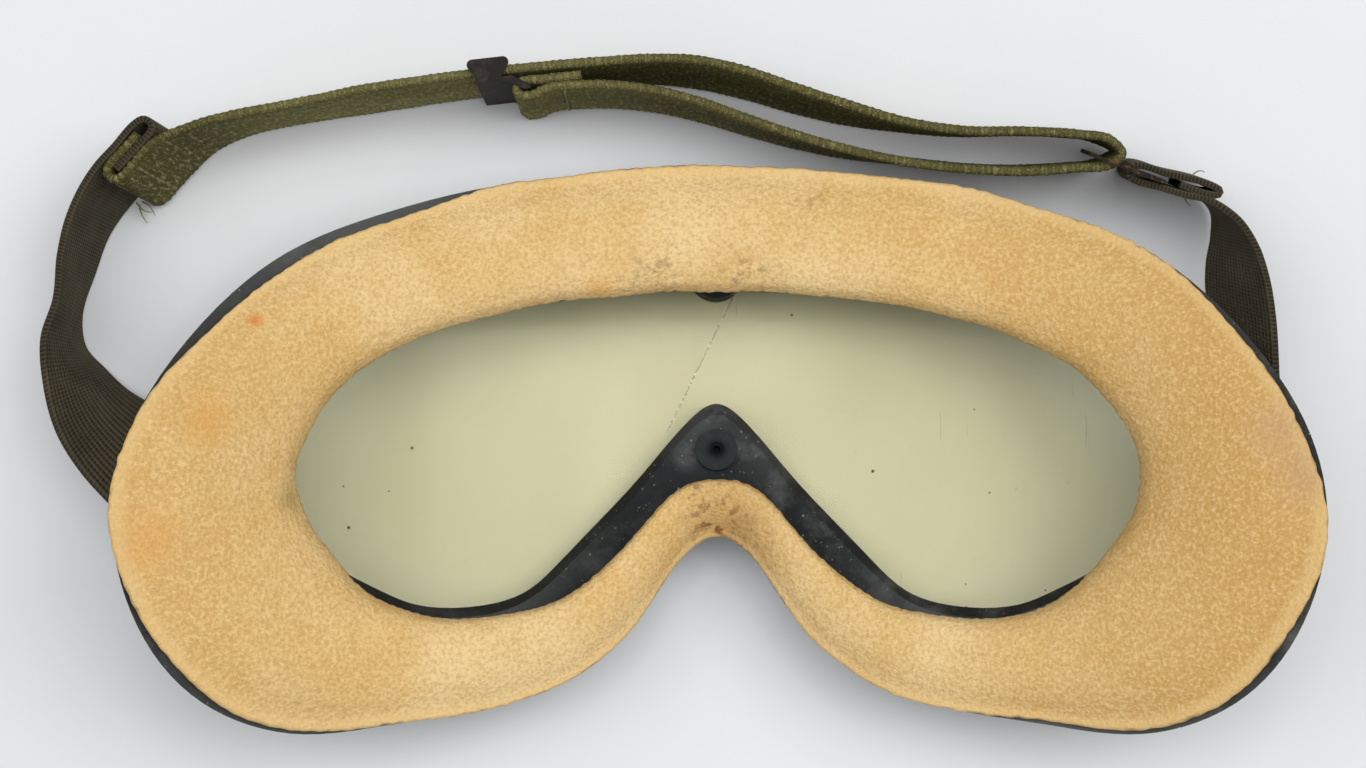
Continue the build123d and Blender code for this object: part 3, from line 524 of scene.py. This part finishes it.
around, upper = 1320, 44
share = 0.5 - 0.5 * np.cos(np.linspace(0.0, np.pi, upper))
share = (0.6 * share + 0.4 * np.linspace(0, 1, upper))[None] * np.ones((len(leather_width), 1))
reach = share * leather_width[:, None]
height = crown_over(share)
top = on_seat(reach, height)
low_share = share[:, ::-3]
low_height = np.maximum(crown_over(low_share) - leather_thickness, pad_gap)
low_height = np.where((low_share < 0.05) | (low_share > 0.93), pad_gap, low_height)
low = on_seat(low_share * leather_width[:, None], low_height)
leather_grid = round_the_ring(np.concatenate([top, low], axis=1), around)
slope = outward[:, 0] * outer_edge[:, 0] / np.sqrt(face_radius**2 - outer_edge[:, 0] ** 2)
way_out = round_the_ring(np.column_stack([outward, slope]), around)
place_across = np.concatenate([share[0], low_share[0]])[None, :, None]
stray_out = round_the_ring(np.concatenate([strays[:, 0], strays[-2:0:-1, 1]])[:, None], around)
stray_in = round_the_ring(np.concatenate([strays[:, 2], strays[-2:0:-1, 2]])[:, None], around)
fray_out = 0.00013 * wander(around, 8, 30, 3) + 0.00005 * wander(around, 60, 260, 4)
fray_in = 0.00008 * wander(around, 8, 30, 5) + 0.00005 * wander(around, 60, 260, 6)
from_outer = 1 - place_across
leather_grid += way_out[:, None] * (
    stray_out[:, None] * place_across**4 + stray_in[:, None] * from_outer**4
    + fray_out[:, None, None] * place_across**16 + fray_in[:, None, None] * from_outer**16
)
rumple = 0.00010 * wander(around, 3, 24, 8)[:, None] * np.sin(np.pi * place_across[..., 0]) ** 2
leather_grid[:, :upper, 2] += rumple[:, :upper]
across_share = np.broadcast_to(place_across[..., 0], leather_grid.shape[:2])
leather = skin("leather", [leather_grid], chamois(), rings=[True], across=across_share)
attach(leather, "goggles")
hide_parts("leather_cover")


# Webbing. Olive cotton strap an inch wide, woven with thick beaded edges. It is hooked and
# sewn to the elastic at the left, runs through the adjuster and turns back at the ring.
strap_width = 0.0254
webbing_thickness = 0.0015
elastic_thickness = 0.001
strap_back = 0.064
strap_middle = 0.014
layer_gap = 0.00015


def unit(*vector):
    """Direction of length one."""
    direction = np.array(vector, dtype=float)
    return direction / np.linalg.norm(direction)


def square_to(vector, axis):
    """Direction of vector made square to an axis of length one."""
    return unit(*(vector - np.dot(vector, axis) * axis))


def turn(middle, along, out, radius, first, last):
    """Points on an arc in the plane of two directions, one every thirty degrees."""
    angles = np.radians(np.linspace(first, last, round(abs(last - first) / 30) + 1))[:, None]
    return middle + radius * (np.cos(angles) * along + np.sin(angles) * out)


def rows_of(points, across):
    """Rows of a strap: middle points, each with the same line across the strap."""
    points = np.atleast_2d(points)
    return np.hstack([points, np.broadcast_to(across, points.shape)])


def strap_rows(shares):
    """Rows of a strap from shares of the half width, of its reach back and of its width."""
    shares = np.array(shares)
    scale = (face_half_width, strap_back, strap_width, 1, 1, 1)
    return shares * scale + (0, 0, strap_middle, 0, 0, 0)


join_along = unit(0.663, 0.749, 0)
join_out = np.array([-join_along[1], join_along[0], 0])
join_up = unit(-0.121, -0.008, 0.993)
join_origin = np.array([-1.048 * face_half_width, 0.661 * strap_back, strap_middle])
join_grip = 0.0082
hook_step = webbing_thickness + elastic_thickness + 2 * layer_gap


def in_join(along, out):
    """Point in the left join: along the strap, and away from the goggles."""
    return join_origin + join_along * along + join_out * out


straight_rows = strap_rows([(-0.6, 0.919, 0, 0, -0.06, 1), (-0.2, 0.985, 0, 0, -0.06, 1)])
straight_start, straight_end = straight_rows[:, :3]
straight_up = unit(0, -0.06, 1)
straight_along = unit(*(straight_end - straight_start))
straight_out = unit(*np.cross(straight_up, straight_along))
ring_up = unit(-0.08, -0.20, 0.975)
before_ring = strap_rows([
    (-0.925, 0.816, 0, -0.03, -0.05, 1), (-0.860, 0.849, 0, 0, -0.08, 1),
    (-0.780, 0.873, 0, 0, -0.09, 1), (-0.700, 0.894, 0, 0, -0.08, 1),
    (-0.630, 0.9121, 0, 0, -0.06, 1),
])
after_adjuster = strap_rows([
    (-0.120, 0.990, 0, 0, -0.05, 1), (-0.040, 0.983, 0, 0, -0.03, 1),
    (0.050, 0.955, 0, 0, -0.03, 1), (0.140, 0.914, 0, 0, -0.05, 1),
    (0.230, 0.877, 0, 0, -0.08, 1), (0.330, 0.845, 0, 0, -0.14, 0.99),
    (0.440, 0.826, 0, 0, -0.17, 0.985), (0.550, 0.826, 0, 0, -0.18, 0.98),
    (0.640, 0.820, 0, 0, -0.19, 0.98), (0.700, 0.805, 0, -0.02, -0.19, 0.98),
    (0.728, 0.772, 0, *ring_up), (0.700, 0.742, 0, -0.02, -0.19, 0.98),
    (0.640, 0.731, 0, 0, -0.18, 0.98),
])
hook = turn(in_join(hook_step / 2, hook_step / 2), join_along, join_out, hook_step / 2, 90, 270)
hook = np.vstack([
    in_join(join_grip, hook_step), in_join(join_grip / 2, hook_step), hook,
    in_join(join_grip / 2, 0), in_join(join_grip, 0),
])
webbing_rows = np.vstack([rows_of(hook, join_up), before_ring, straight_rows, after_adjuster])


def strap_surface(rows, step, profile, swell):
    """Strap along a smooth line through its rows. At each step the section's corners lie
    across the strap by the first column of the profile and off its face by the second;
    swell adds relief to both from the distance along and the profile's own places."""
    run = np.concatenate([[0], np.cumsum(np.linalg.norm(np.diff(rows[:, :3], axis=0), axis=1))])
    places = smooth_through(run, rows, np.linspace(0, run[-1], int(run[-1] / step) + 1))
    middle, across = places[:, :3], places[:, 3:]
    along = np.gradient(middle, axis=0)
    travelled = np.concatenate([[0], np.cumsum(np.linalg.norm(np.diff(middle, axis=0), axis=1))])
    facing = np.cross(along, across)
    facing /= np.linalg.norm(facing, axis=1)[:, None]
    sideways, off = swell(travelled[:, None], *profile.T[:, None])
    grid = middle[:, None] + across[:, None] * sideways[..., None]
    grid += facing[:, None] * off[..., None]
    weave = np.stack(np.broadcast_arrays(travelled[:, None], profile[:, 0]), axis=-1)
    return grid, weave.reshape(-1, 2), travelled[-1]


def flat_section(thickness, count):
    """Corners round a flat strap with full round edges: across, and off its face."""
    edge = thickness / 2
    reach = strap_width / 2 - edge
    face = np.linspace(-reach, reach, count)
    bend = np.radians(np.linspace(90, -90, 7)[1:-1])
    front = np.column_stack([face, np.full(count, edge)])
    right = np.column_stack([reach + edge * np.cos(bend), edge * np.sin(bend)])
    return np.vstack([front, right, -front, -right])


bead = 0.00118
bead_row_from, bead_row_width = 0.0104, 0.0018
rib_pitch = 0.0021
weave_step = 0.0003


def cotton_relief(run, across, off):
    """Uneven beads along both edges, set half a bead apart on the two faces, and a slight rib."""
    random = np.random.default_rng(12)
    tall = np.interp(run, np.arange(400) * bead / 2, random.uniform(0.35, 1.25, 400))
    near_edge = np.clip((np.abs(across) - bead_row_from) / bead_row_width, 0, 1)
    beads = np.sin(np.pi * (run / bead + 0.5 * (off > 0))) ** 2 * tall
    ribs = np.cos(2 * np.pi * across / rib_pitch)
    off = off * (1 + near_edge * (0.20 * beads - 0.08) + 0.03 * ribs * (1 - near_edge))
    return across * (1 + near_edge * 0.012 * (beads - 0.5)), off


def olive_cotton(name, face, lit, rim, thread):
    """Woven cotton: rows of slanted threads that cross and waver, fuzzy, rubbed pale in
    patches, greener along the beaded edges, and darkened by painted shade at the join and in the loop."""
    made, tree, shader = substance(name, Roughness=0.95, Specular_IOR_Level=0.1)
    weave = put(tree, "UVMap", uv_map="weave")
    run, side = level(tree, weave, 0), level(tree, weave, 1)
    place = put(tree, "TexCoord", out=3)
    waver = times(tree, noise(tree, place, 900.0, 3.0, 0.6), thread * 2.2)
    along = times(tree, sums(tree, "ADD", run, waver), math.pi / thread)
    across = times(tree, side, math.pi / thread)
    slant = sums(tree, "SINE", sums(tree, "ADD", along, across))
    other = sums(tree, "SINE", sums(tree, "SUBTRACT", along, across))
    threads = sums(tree, "ABSOLUTE", times(tree, slant, other))
    fuzz = noise(tree, place, 2400.0, 5.0, 0.75)
    long = put(tree, "Mapping", {"Vector": weave, "Scale": (1.0, 0.22, 1.0)})
    flecks = noise(tree, long, 1500.0, 3.0, 0.7)
    patches = between(tree, noise(tree, place, 110.0, 7.0, 0.7), 0.38, 0.64)
    edge = between(tree, sums(tree, "ABSOLUTE", side), 0.0100, 0.0124)
    colour = blended(tree, patches, face, lit)
    colour = blended(tree, times(tree, edge, 0.75), colour, rim)
    # Painted shade: the strap is darker near the left join and in the loop, where the goggles and the
    # strap itself shade it.
    join_painted_shade = between(tree, level(tree, place, 0), -0.072, -0.086, 0.0, 0.75)
    loop_painted_shade = between(tree, level(tree, place, 0), -0.026, -0.008, 0.0, 0.5)
    strap_painted_shade = sums(tree, "MAXIMUM", join_painted_shade, loop_painted_shade)
    colour = blended(tree, strap_painted_shade, colour, shade(74, 70, 42))
    inside = between(tree, edge, 0.0, 1.0, 1.0, 0.35)
    shadow = tuple(c * 0.35 for c in face[:3]) + (1.0,)
    bright = tuple(min(1.0, c * 1.8) for c in lit[:3]) + (1.0,)
    colour = blended(tree, between(tree, threads, 0.0, 0.55, 0.45, 0.0), colour, shadow)
    colour = blended(tree, between(tree, fuzz, 0.54, 0.70, 0.0, 0.55), colour, bright)
    colour = blended(tree, between(tree, fuzz, 0.30, 0.44, 0.35, 0.0), colour, shadow)
    pale = times(tree, between(tree, flecks, 0.52, 0.66, 0.0, 0.60), inside)
    colour = blended(tree, pale, colour, bright)
    deep = times(tree, between(tree, flecks, 0.34, 0.48, 0.55, 0.0), inside)
    colour = blended(tree, deep, colour, shadow)
    tree.links.new(colour, shader.inputs["Base Color"])
    height = sums(tree, "ADD", threads, times(tree, fuzz, 1.2))
    tree.links.new(relief(tree, height, 0.8, 0.0003), shader.inputs["Normal"])
    return made


cotton = olive_cotton(
    "olive_cotton", shade(148, 141, 88), shade(170, 163, 110), shade(92, 88, 54), 0.0007
)
cotton_section = flat_section(webbing_thickness, 21)
grid, weave, length = strap_surface(webbing_rows, weave_step, cotton_section, cotton_relief)
webbing = skin("webbing_strap", [grid], cotton, uv=weave)
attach(webbing, "goggles")
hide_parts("webbing")


# Return run. The same strip of webbing goes back from the ring to the adjuster's side bar,
# turns round it, and its end is tucked inside and sewn.
sheet_metal = 0.0006
tail_out = -(webbing_thickness + layer_gap * 2)
return_out = tail_out - webbing_thickness - sheet_metal - 2 * layer_gap
bar_reach, bar_half = 0.006, 0.0006
fold_start = bar_reach - bar_half
tucked_end = fold_start + 0.0095
past_bar = fold_start + 0.0035
adjuster_share = 0.487


def by_adjuster(along, out, up=0.0):
    """Point given from the middle of the adjuster: along the strap, away from the goggles
    and up the strap's width."""
    place = np.linalg.norm(straight_end - straight_start) * adjuster_share + along
    return straight_start + straight_along * place + straight_out * out + straight_up * up


close = tail_out - webbing_thickness - layer_gap
fold = turn(by_adjuster(fold_start, (tail_out + return_out) / 2), straight_along, straight_out,
            (tail_out - return_out) / 2, 90, 270)
fold = np.vstack([
    by_adjuster(tucked_end, tail_out), by_adjuster(past_bar, tail_out), fold,
    by_adjuster(fold_start + 2 * bar_half, return_out), by_adjuster(past_bar, close),
    by_adjuster(tucked_end, close),
])
back_rows = strap_rows([
    (-0.100, 0.908, 0, 0, -0.07, 1), (-0.030, 0.883, 0, 0, -0.08, 1),
    (0.050, 0.845, 0, 0, -0.10, 1), (0.140, 0.805, 0, 0, -0.12, 0.99),
    (0.240, 0.770, 0, 0, -0.15, 0.99), (0.350, 0.745, 0, 0, -0.19, 0.98),
    (0.460, 0.728, 0, 0, -0.19, 0.98), (0.560, 0.724, 0, 0, -0.19, 0.98),
    (0.640, 0.731, 0, 0, -0.18, 0.98),
])
return_rows = np.vstack([rows_of(fold, straight_up), back_rows])
grid, weave, length = strap_surface(return_rows, weave_step, cotton_section, cotton_relief)
return_strap = skin("return_strap", [grid], cotton, uv=weave)
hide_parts("return_run")
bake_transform(return_strap)


# Elastic. Dark olive-brown band with about twenty rubber cords in it, ribbed lengthwise.
# One piece runs from the ring to the right lug and one from the left join to the left lug.
elastic_rib = strap_width / 20
cross_thread = 0.0006
elastic_step = 0.0005
slot_gap = 0.0003


def corded_relief(run, across, off):
    """Twenty round ribs along the band on both faces, a little deeper between the cords."""
    cords = np.sqrt(np.abs(np.sin(np.pi * across / elastic_rib)))
    return across, off * (0.80 + 0.36 * cords)


def corded_elastic():
    """Dark olive-brown cover over rubber cords, with painted shade in the grooves between the cords,
    and fine cross threads.
    """
    made, tree, shader = substance("corded_elastic", Roughness=0.8, Specular_IOR_Level=0.2)
    weave = put(tree, "UVMap", uv_map="weave")
    along, across = level(tree, weave, 0), level(tree, weave, 1)
    cord = sums(tree, "ABSOLUTE", sums(tree, "SINE", times(tree, across, math.pi / elastic_rib)))
    cross = sums(tree, "ABSOLUTE", sums(tree, "SINE", times(tree, along, math.pi / cross_thread)))
    place = put(tree, "TexCoord", out=3)
    worn = between(tree, noise(tree, place, 130.0, 6.0, 0.6), 0.35, 0.7)
    colour = blended(tree, worn, shade(66, 60, 46), shade(92, 85, 66))
    # Painted shade: near black in the grooves between the cords.
    colour = blended(tree, between(tree, cord, 0.2, 0.8, 0.75, 0.0), colour, shade(28, 25, 19))
    colour = blended(tree, between(tree, cross, 0.6, 1.0, 0.0, 0.3), colour, shade(112, 104, 84))
    tree.links.new(colour, shader.inputs["Base Color"])
    height = sums(tree, "ADD", cord, times(tree, cross, 0.35))
    tree.links.new(relief(tree, height, 0.5, 0.0002), shader.inputs["Normal"])
    return made


ring_bar = strap_rows([(0.797, 0.702, 0, 0, 0, 1)])[0, :3]
fold_along = square_to(unit(0.958, -0.286, 0), ring_up)
fold_out = np.cross(ring_up, fold_along)
fold_main = -(sheet_metal / 2 + slot_gap + elastic_thickness / 2)
fold_outer = -fold_main + elastic_thickness / 4
fold_tail = fold_outer - elastic_thickness - layer_gap


def in_fold(along, out):
    """Point in the elastic's fold, from the ring's right bar."""
    return ring_bar + fold_along * along + fold_out * out


lug_reach, lug_thickness, lug_rise, lug_middle = 0.0845, 0.0024, 0.033, -0.010
lug_drape, lug_bar, lug_slot_width, lug_tail = 0.0028, 0.0046, 0.0030, 0.0036


def lug_rows(side):
    """Rows of the elastic up outside a lug, over it, down its slot and back under it."""
    outward, upward = np.array([side, 0.0, 0.0]), np.array([0.0, 0.0, 1.0])
    over = lug_rise + lug_thickness + slot_gap + elastic_thickness / 2
    below = lug_rise - slot_gap - elastic_thickness / 2
    main = lug_reach + lug_drape
    tail, bend = main - elastic_thickness - layer_gap, elastic_thickness
    slot = lug_reach - lug_bar - lug_slot_width / 2

    def at(x, z):
        return np.array([side * x, lug_middle, z])

    points = np.vstack([
        turn(at(main - lug_drape, over - lug_drape), outward, upward, lug_drape, 0, 90),
        turn(at(slot + bend, over - bend), outward, upward, bend, 90, 180),
        turn(at(slot + bend, below + bend), outward, upward, bend, 180, 270),
        turn(at(tail - bend, below - bend), outward, upward, bend, 90, 0),
        at(tail, below - lug_tail),
    ])
    return rows_of(points, (0, -1, 0))


def slanted_fold():
    """Rows where the right elastic folds over on a slant and turns up to its lug."""
    radius, line = 0.0014, np.array([0.0, -1.0, 1.0])
    along, ahead = unit(0, -1, 1), unit(0, -1, -1)
    drift = math.pi * radius / math.sqrt(2)
    start = np.array([lug_reach + lug_drape + 2 * radius, lug_middle + drift, strap_middle])
    angle = np.linspace(0, math.pi, 7)[:, None]
    points = start + ahead * radius * np.sin(angle) + along * radius * angle
    points = points - np.array([1.0, 0, 0]) * radius * (1 - np.cos(angle))
    top = strap_middle + strap_width / 2 + drift + layer_gap
    upright = rows_of(np.array([lug_reach + lug_drape, lug_middle, top]), (0, -1, 0))
    return np.vstack([rows_of(points, line), upright])


tip = fold_outer / 2 - fold_main / 2
fold_reach, fold_tip = 0.009, 0.0042
right_fold = np.vstack([
    in_fold(fold_reach / 3, fold_tail), in_fold(fold_reach, fold_tail),
    turn(in_fold(fold_reach, (fold_outer + fold_tail) / 2), fold_along, fold_out,
         (fold_outer - fold_tail) / 2, -60, 90),
    in_fold(0, fold_outer),
    turn(in_fold(-fold_tip, (fold_outer + fold_main) / 2), fold_along, fold_out, tip, 90, 270),
    in_fold(0, fold_main), in_fold(fold_reach / 2, fold_main), in_fold(0.0086, fold_main + 0.0002),
])
right_rows = np.vstack([
    rows_of(right_fold, ring_up),
    strap_rows([
        (0.920, 0.605, 0.006, 0.000, -0.219, 0.976), (0.936, 0.537, -0.004, 0.116, -0.221, 0.968),
        (0.940, 0.463, -0.002, 0.218, -0.241, 0.946), (0.943, 0.374, 0.016, 0.263, -0.267, 0.927),
        (0.953, 0.247, 0.016, 0.213, -0.378, 0.961), (0.965, 0.127, 0.008, 0.122, -0.559, 0.984),
        (0.975, 0.004, 0.002, 0.039, -0.807, 0.996),
    ]),
    slanted_fold(), lug_rows(1),
])
join_tail = webbing_thickness / 2 + layer_gap + elastic_thickness / 2
join_outer = join_tail + hook_step
left_hook = np.vstack([
    in_join(hook_step / 2 + layer_gap, join_tail), in_join(join_grip, join_tail),
    turn(in_join(join_grip + hook_step / 2, (join_tail + join_outer) / 2), join_along, join_out,
         hook_step / 2, -90, 90),
    in_join(join_grip / 2, join_outer), in_join(0, join_outer),
])
left_rows = np.vstack([
    rows_of(left_hook, join_up),
    strap_rows([
        (-1.140, 0.575, -0.041, -0.063, -0.032, 0.998), (-1.158, 0.482, -0.043, -0.028, -0.028, 0.999),
        (-1.173, 0.362, -0.041, 0.036, -0.024, 0.999), (-1.179, 0.274, -0.041, -0.067, -0.060, 0.996),
        (-1.154, 0.177, -0.010, -0.199, -0.211, 0.957), (-1.119, 0.091, 0.059, -0.268, -0.365, 0.892),
        (-1.074, 0.022, 0.140, -0.265, -0.522, 0.811), (-1.024, -0.039, 0.213, -0.180, -0.704, 0.688),
        (-0.980, -0.101, 0.313, -0.067, -0.868, 0.491), (-0.957, -0.144, 0.447, -0.012, -0.971, 0.241),
        (-0.949, -0.156, 0.591, 0.000, -1.000, 0.000),
    ]),
    lug_rows(-1),
])
elastic = corded_elastic()
elastic_section = flat_section(elastic_thickness, 101)
for name, rows, node, held_by in (
    ("right_band", right_rows, "right_elastic", "ring"),
    ("left_band", left_rows, "left_elastic", "webbing_strap"),
):
    grid, weave, length = strap_surface(rows, elastic_step, elastic_section, corded_relief)
    band = skin(name, [grid], elastic, uv=weave)
    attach(band, "goggles")
    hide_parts(node)


# Stitching. Olive cotton thread, one row of bar stitches across the strap at each sewn place:
# the left join, the elastic's fold, the end round the adjuster's bar, and under each lug. A
# few frayed ends hang from the left join and from the fold.
thread = 0.00045
half_stitch = 0.0012
round_thread = np.linspace(0, 2 * np.pi, 8, endpoint=False)


def stitch_row(place, along, up, facing, count=7):
    """Row of short threads up the strap: each is a tube along a low arch whose two ends
    dip into the cloth."""
    lift = (np.arange(count) - (count - 1) / 2) * strap_width / (count + 1)
    run = np.linspace(-1, 1, 9)[:, None]
    arch = facing * (thread * 0.25 - thread * 0.9 * run**4)
    section = np.cos(round_thread)[:, None] * along + np.sin(round_thread)[:, None] * facing
    hearts = [place + up * (rise + half_stitch * run) + arch for rise in lift]
    return [heart[:, None] + thread / 2 * section for heart in hearts]


def loose_end(start, bend, end):
    """Frayed end of a thread: a thin tube along a bow, from places in millimetres."""
    share = np.linspace(0, 1, 9)[:, None]
    start, bend, end = (np.array(place) * 0.001 for place in (start, bend, end))
    heart = (1 - share) ** 2 * start + 2 * share * (1 - share) * bend + share**2 * end
    ahead = np.gradient(heart, axis=0)
    side = np.cross(ahead, (0.3, 0.2, 0.93))
    side /= np.linalg.norm(side, axis=1)[:, None]
    rise = np.cross(side, ahead)
    rise /= np.linalg.norm(rise, axis=1)[:, None]
    taper = np.linspace(thread * 0.35, thread * 0.15, 9)[:, None, None]
    section = np.cos(round_thread)[:, None] * side[:, None]
    section = section + np.sin(round_thread)[:, None] * rise[:, None]
    return heart[:, None] + taper * section


def sewing_thread():
    """Waxed olive thread with the twist of its two strands."""
    made, tree, shader = substance("sewing_thread", Roughness=0.7, Specular_IOR_Level=0.25)
    place = put(tree, "TexCoord", out=3)
    strands = put(tree, "TexWave", {"Vector": place, "Scale": 900.0, "Distortion": 2.0})
    colour = blended(tree, strands, shade(112, 107, 68), shade(160, 153, 104))
    tree.links.new(colour, shader.inputs["Base Color"])
    tree.links.new(relief(tree, strands, 0.4, 0.0001), shader.inputs["Normal"])
    return made


twine = sewing_thread()
outer_face = webbing_thickness / 2 + 3 * layer_gap + 2 * elastic_thickness + webbing_thickness
inner_seam = in_join(join_grip / 2, -webbing_thickness / 2)
outer_seam = in_join(join_grip / 2, outer_face)
fold_seam = in_fold(fold_reach * 2 / 3, fold_outer + elastic_thickness / 2)
join_rows = stitch_row(inner_seam, join_along, join_up, -join_out)
join_rows += stitch_row(outer_seam, join_along, join_up, join_out)
fold_rows = stitch_row(fold_seam, fold_along, ring_up, fold_out)
join_rows += [
    loose_end((-98.6, 42.6, 3.4), (-97.2, 40.6, 3.8), (-96.0, 41.2, 2.2)),
    loose_end((-98.2, 42.3, 2.6), (-97.8, 40.2, 3.0), (-96.9, 39.4, 1.6)),
    loose_end((-97.6, 42.8, 3.0), (-95.8, 42.0, 4.2), (-95.4, 40.4, 3.0)),
]
fold_rows += [
    loose_end((77.2, 43.2, 24.2), (78.4, 44.8, 25.2), (79.6, 44.2, 24.2)),
    loose_end((76.8, 41.8, 20.4), (76.6, 40.2, 20.8), (78.0, 39.4, 19.4)),
]
sewn = by_adjuster((past_bar + tucked_end) / 2, close - webbing_thickness / 2)
return_rows_sewn = stitch_row(sewn, straight_along, straight_up, -straight_out)
under_lug = lug_rise - slot_gap - elastic_thickness - lug_tail / 2
groups = [
    ("join_threads", join_rows, "join_stitching", "goggles"),
    ("fold_threads", fold_rows, "fold_stitching", "goggles"),
    ("return_threads", return_rows_sewn, "return_stitching", "adjuster"),
]
for side, word in ((1, "right"), (-1, "left")):
    place = np.array([side * (lug_reach + lug_drape + elastic_thickness / 2), lug_middle, under_lug])
    row = stitch_row(place, np.array([0, 0, 1.0]), np.array([0, 1.0, 0]), np.array([side, 0, 0]))
    groups.append((f"{word}_lug_threads", row, f"{word}_lug_stitching", "goggles"))
for name, grids, node, body in groups:
    sewn_row = skin(name, grids, twine)
    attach(sewn_row, body)
    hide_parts(node)


# Metal fittings. Stamped steel, dipped in black-brown enamel that has worn and rusted at the
# edges: the adjuster, the ring, and the four pieces of each snap.
def worn_enamel(name, coat, worn, rust, rusty):
    """Enamel over steel: brown-grey coat, rubbed patches, rust where it is thin, and painted shade,
    near black, in the dished middle of the nose snap's post, which lies on the height axis."""
    made, tree, shader = substance(name, Specular_IOR_Level=0.18)
    place = put(tree, "TexCoord", out=3)
    rubbed = between(tree, noise(tree, place, 420.0, 8.0, 0.65), 0.5, 0.68)
    spots = between(tree, noise(tree, place, 900.0, 6.0, 0.6), 0.62 - rusty, 0.74 - rusty)
    colour = blended(tree, rubbed, coat, worn)
    colour = blended(tree, spots, colour, rust)
    # Painted shade: near black in the dished middle of the nose snap's post, only at the post's
    # height.
    from_axis = put(tree, "VectorMath", {0: place, 1: (1.0, 1.0, 0.0)}, operation="MULTIPLY")
    from_axis = put(tree, "VectorMath", {0: from_axis}, out=1, operation="LENGTH")
    post_side = between(tree, level(tree, place, 2), 0.0050, 0.0060)
    post_dish_painted_shade = times(tree, between(tree, from_axis, 0.0007, 0.0022, 0.85, 0.0), post_side)
    colour = blended(tree, post_dish_painted_shade, colour, shade(10, 11, 11))
    tree.links.new(colour, shader.inputs["Base Color"])
    tree.links.new(between(tree, spots, 0, 1, 0.72, 0.90), shader.inputs["Roughness"])
    grain = noise(tree, place, 1500.0, 5.0)
    tree.links.new(relief(tree, grain, 0.3, 0.00012), shader.inputs["Normal"])
    return made


dress("adjuster", worn_enamel(
    "brown_enamel", shade(44, 40, 38), shade(66, 60, 56), shade(78, 58, 48), 0.0
))
dress("ring", worn_enamel(
    "black_enamel", shade(40, 36, 33), shade(62, 54, 48), shade(118, 78, 50), 0.10
))
snap_black = worn_enamel(
    "snap_black", shade(47, 52, 53), shade(58, 62, 62), shade(58, 54, 50), 0.0
)
for place_of in ("brow", "nose"):
    for kind in ("cap", "socket", "stud", "post"):
        dress(f"{place_of}_snap_{kind}", snap_black)
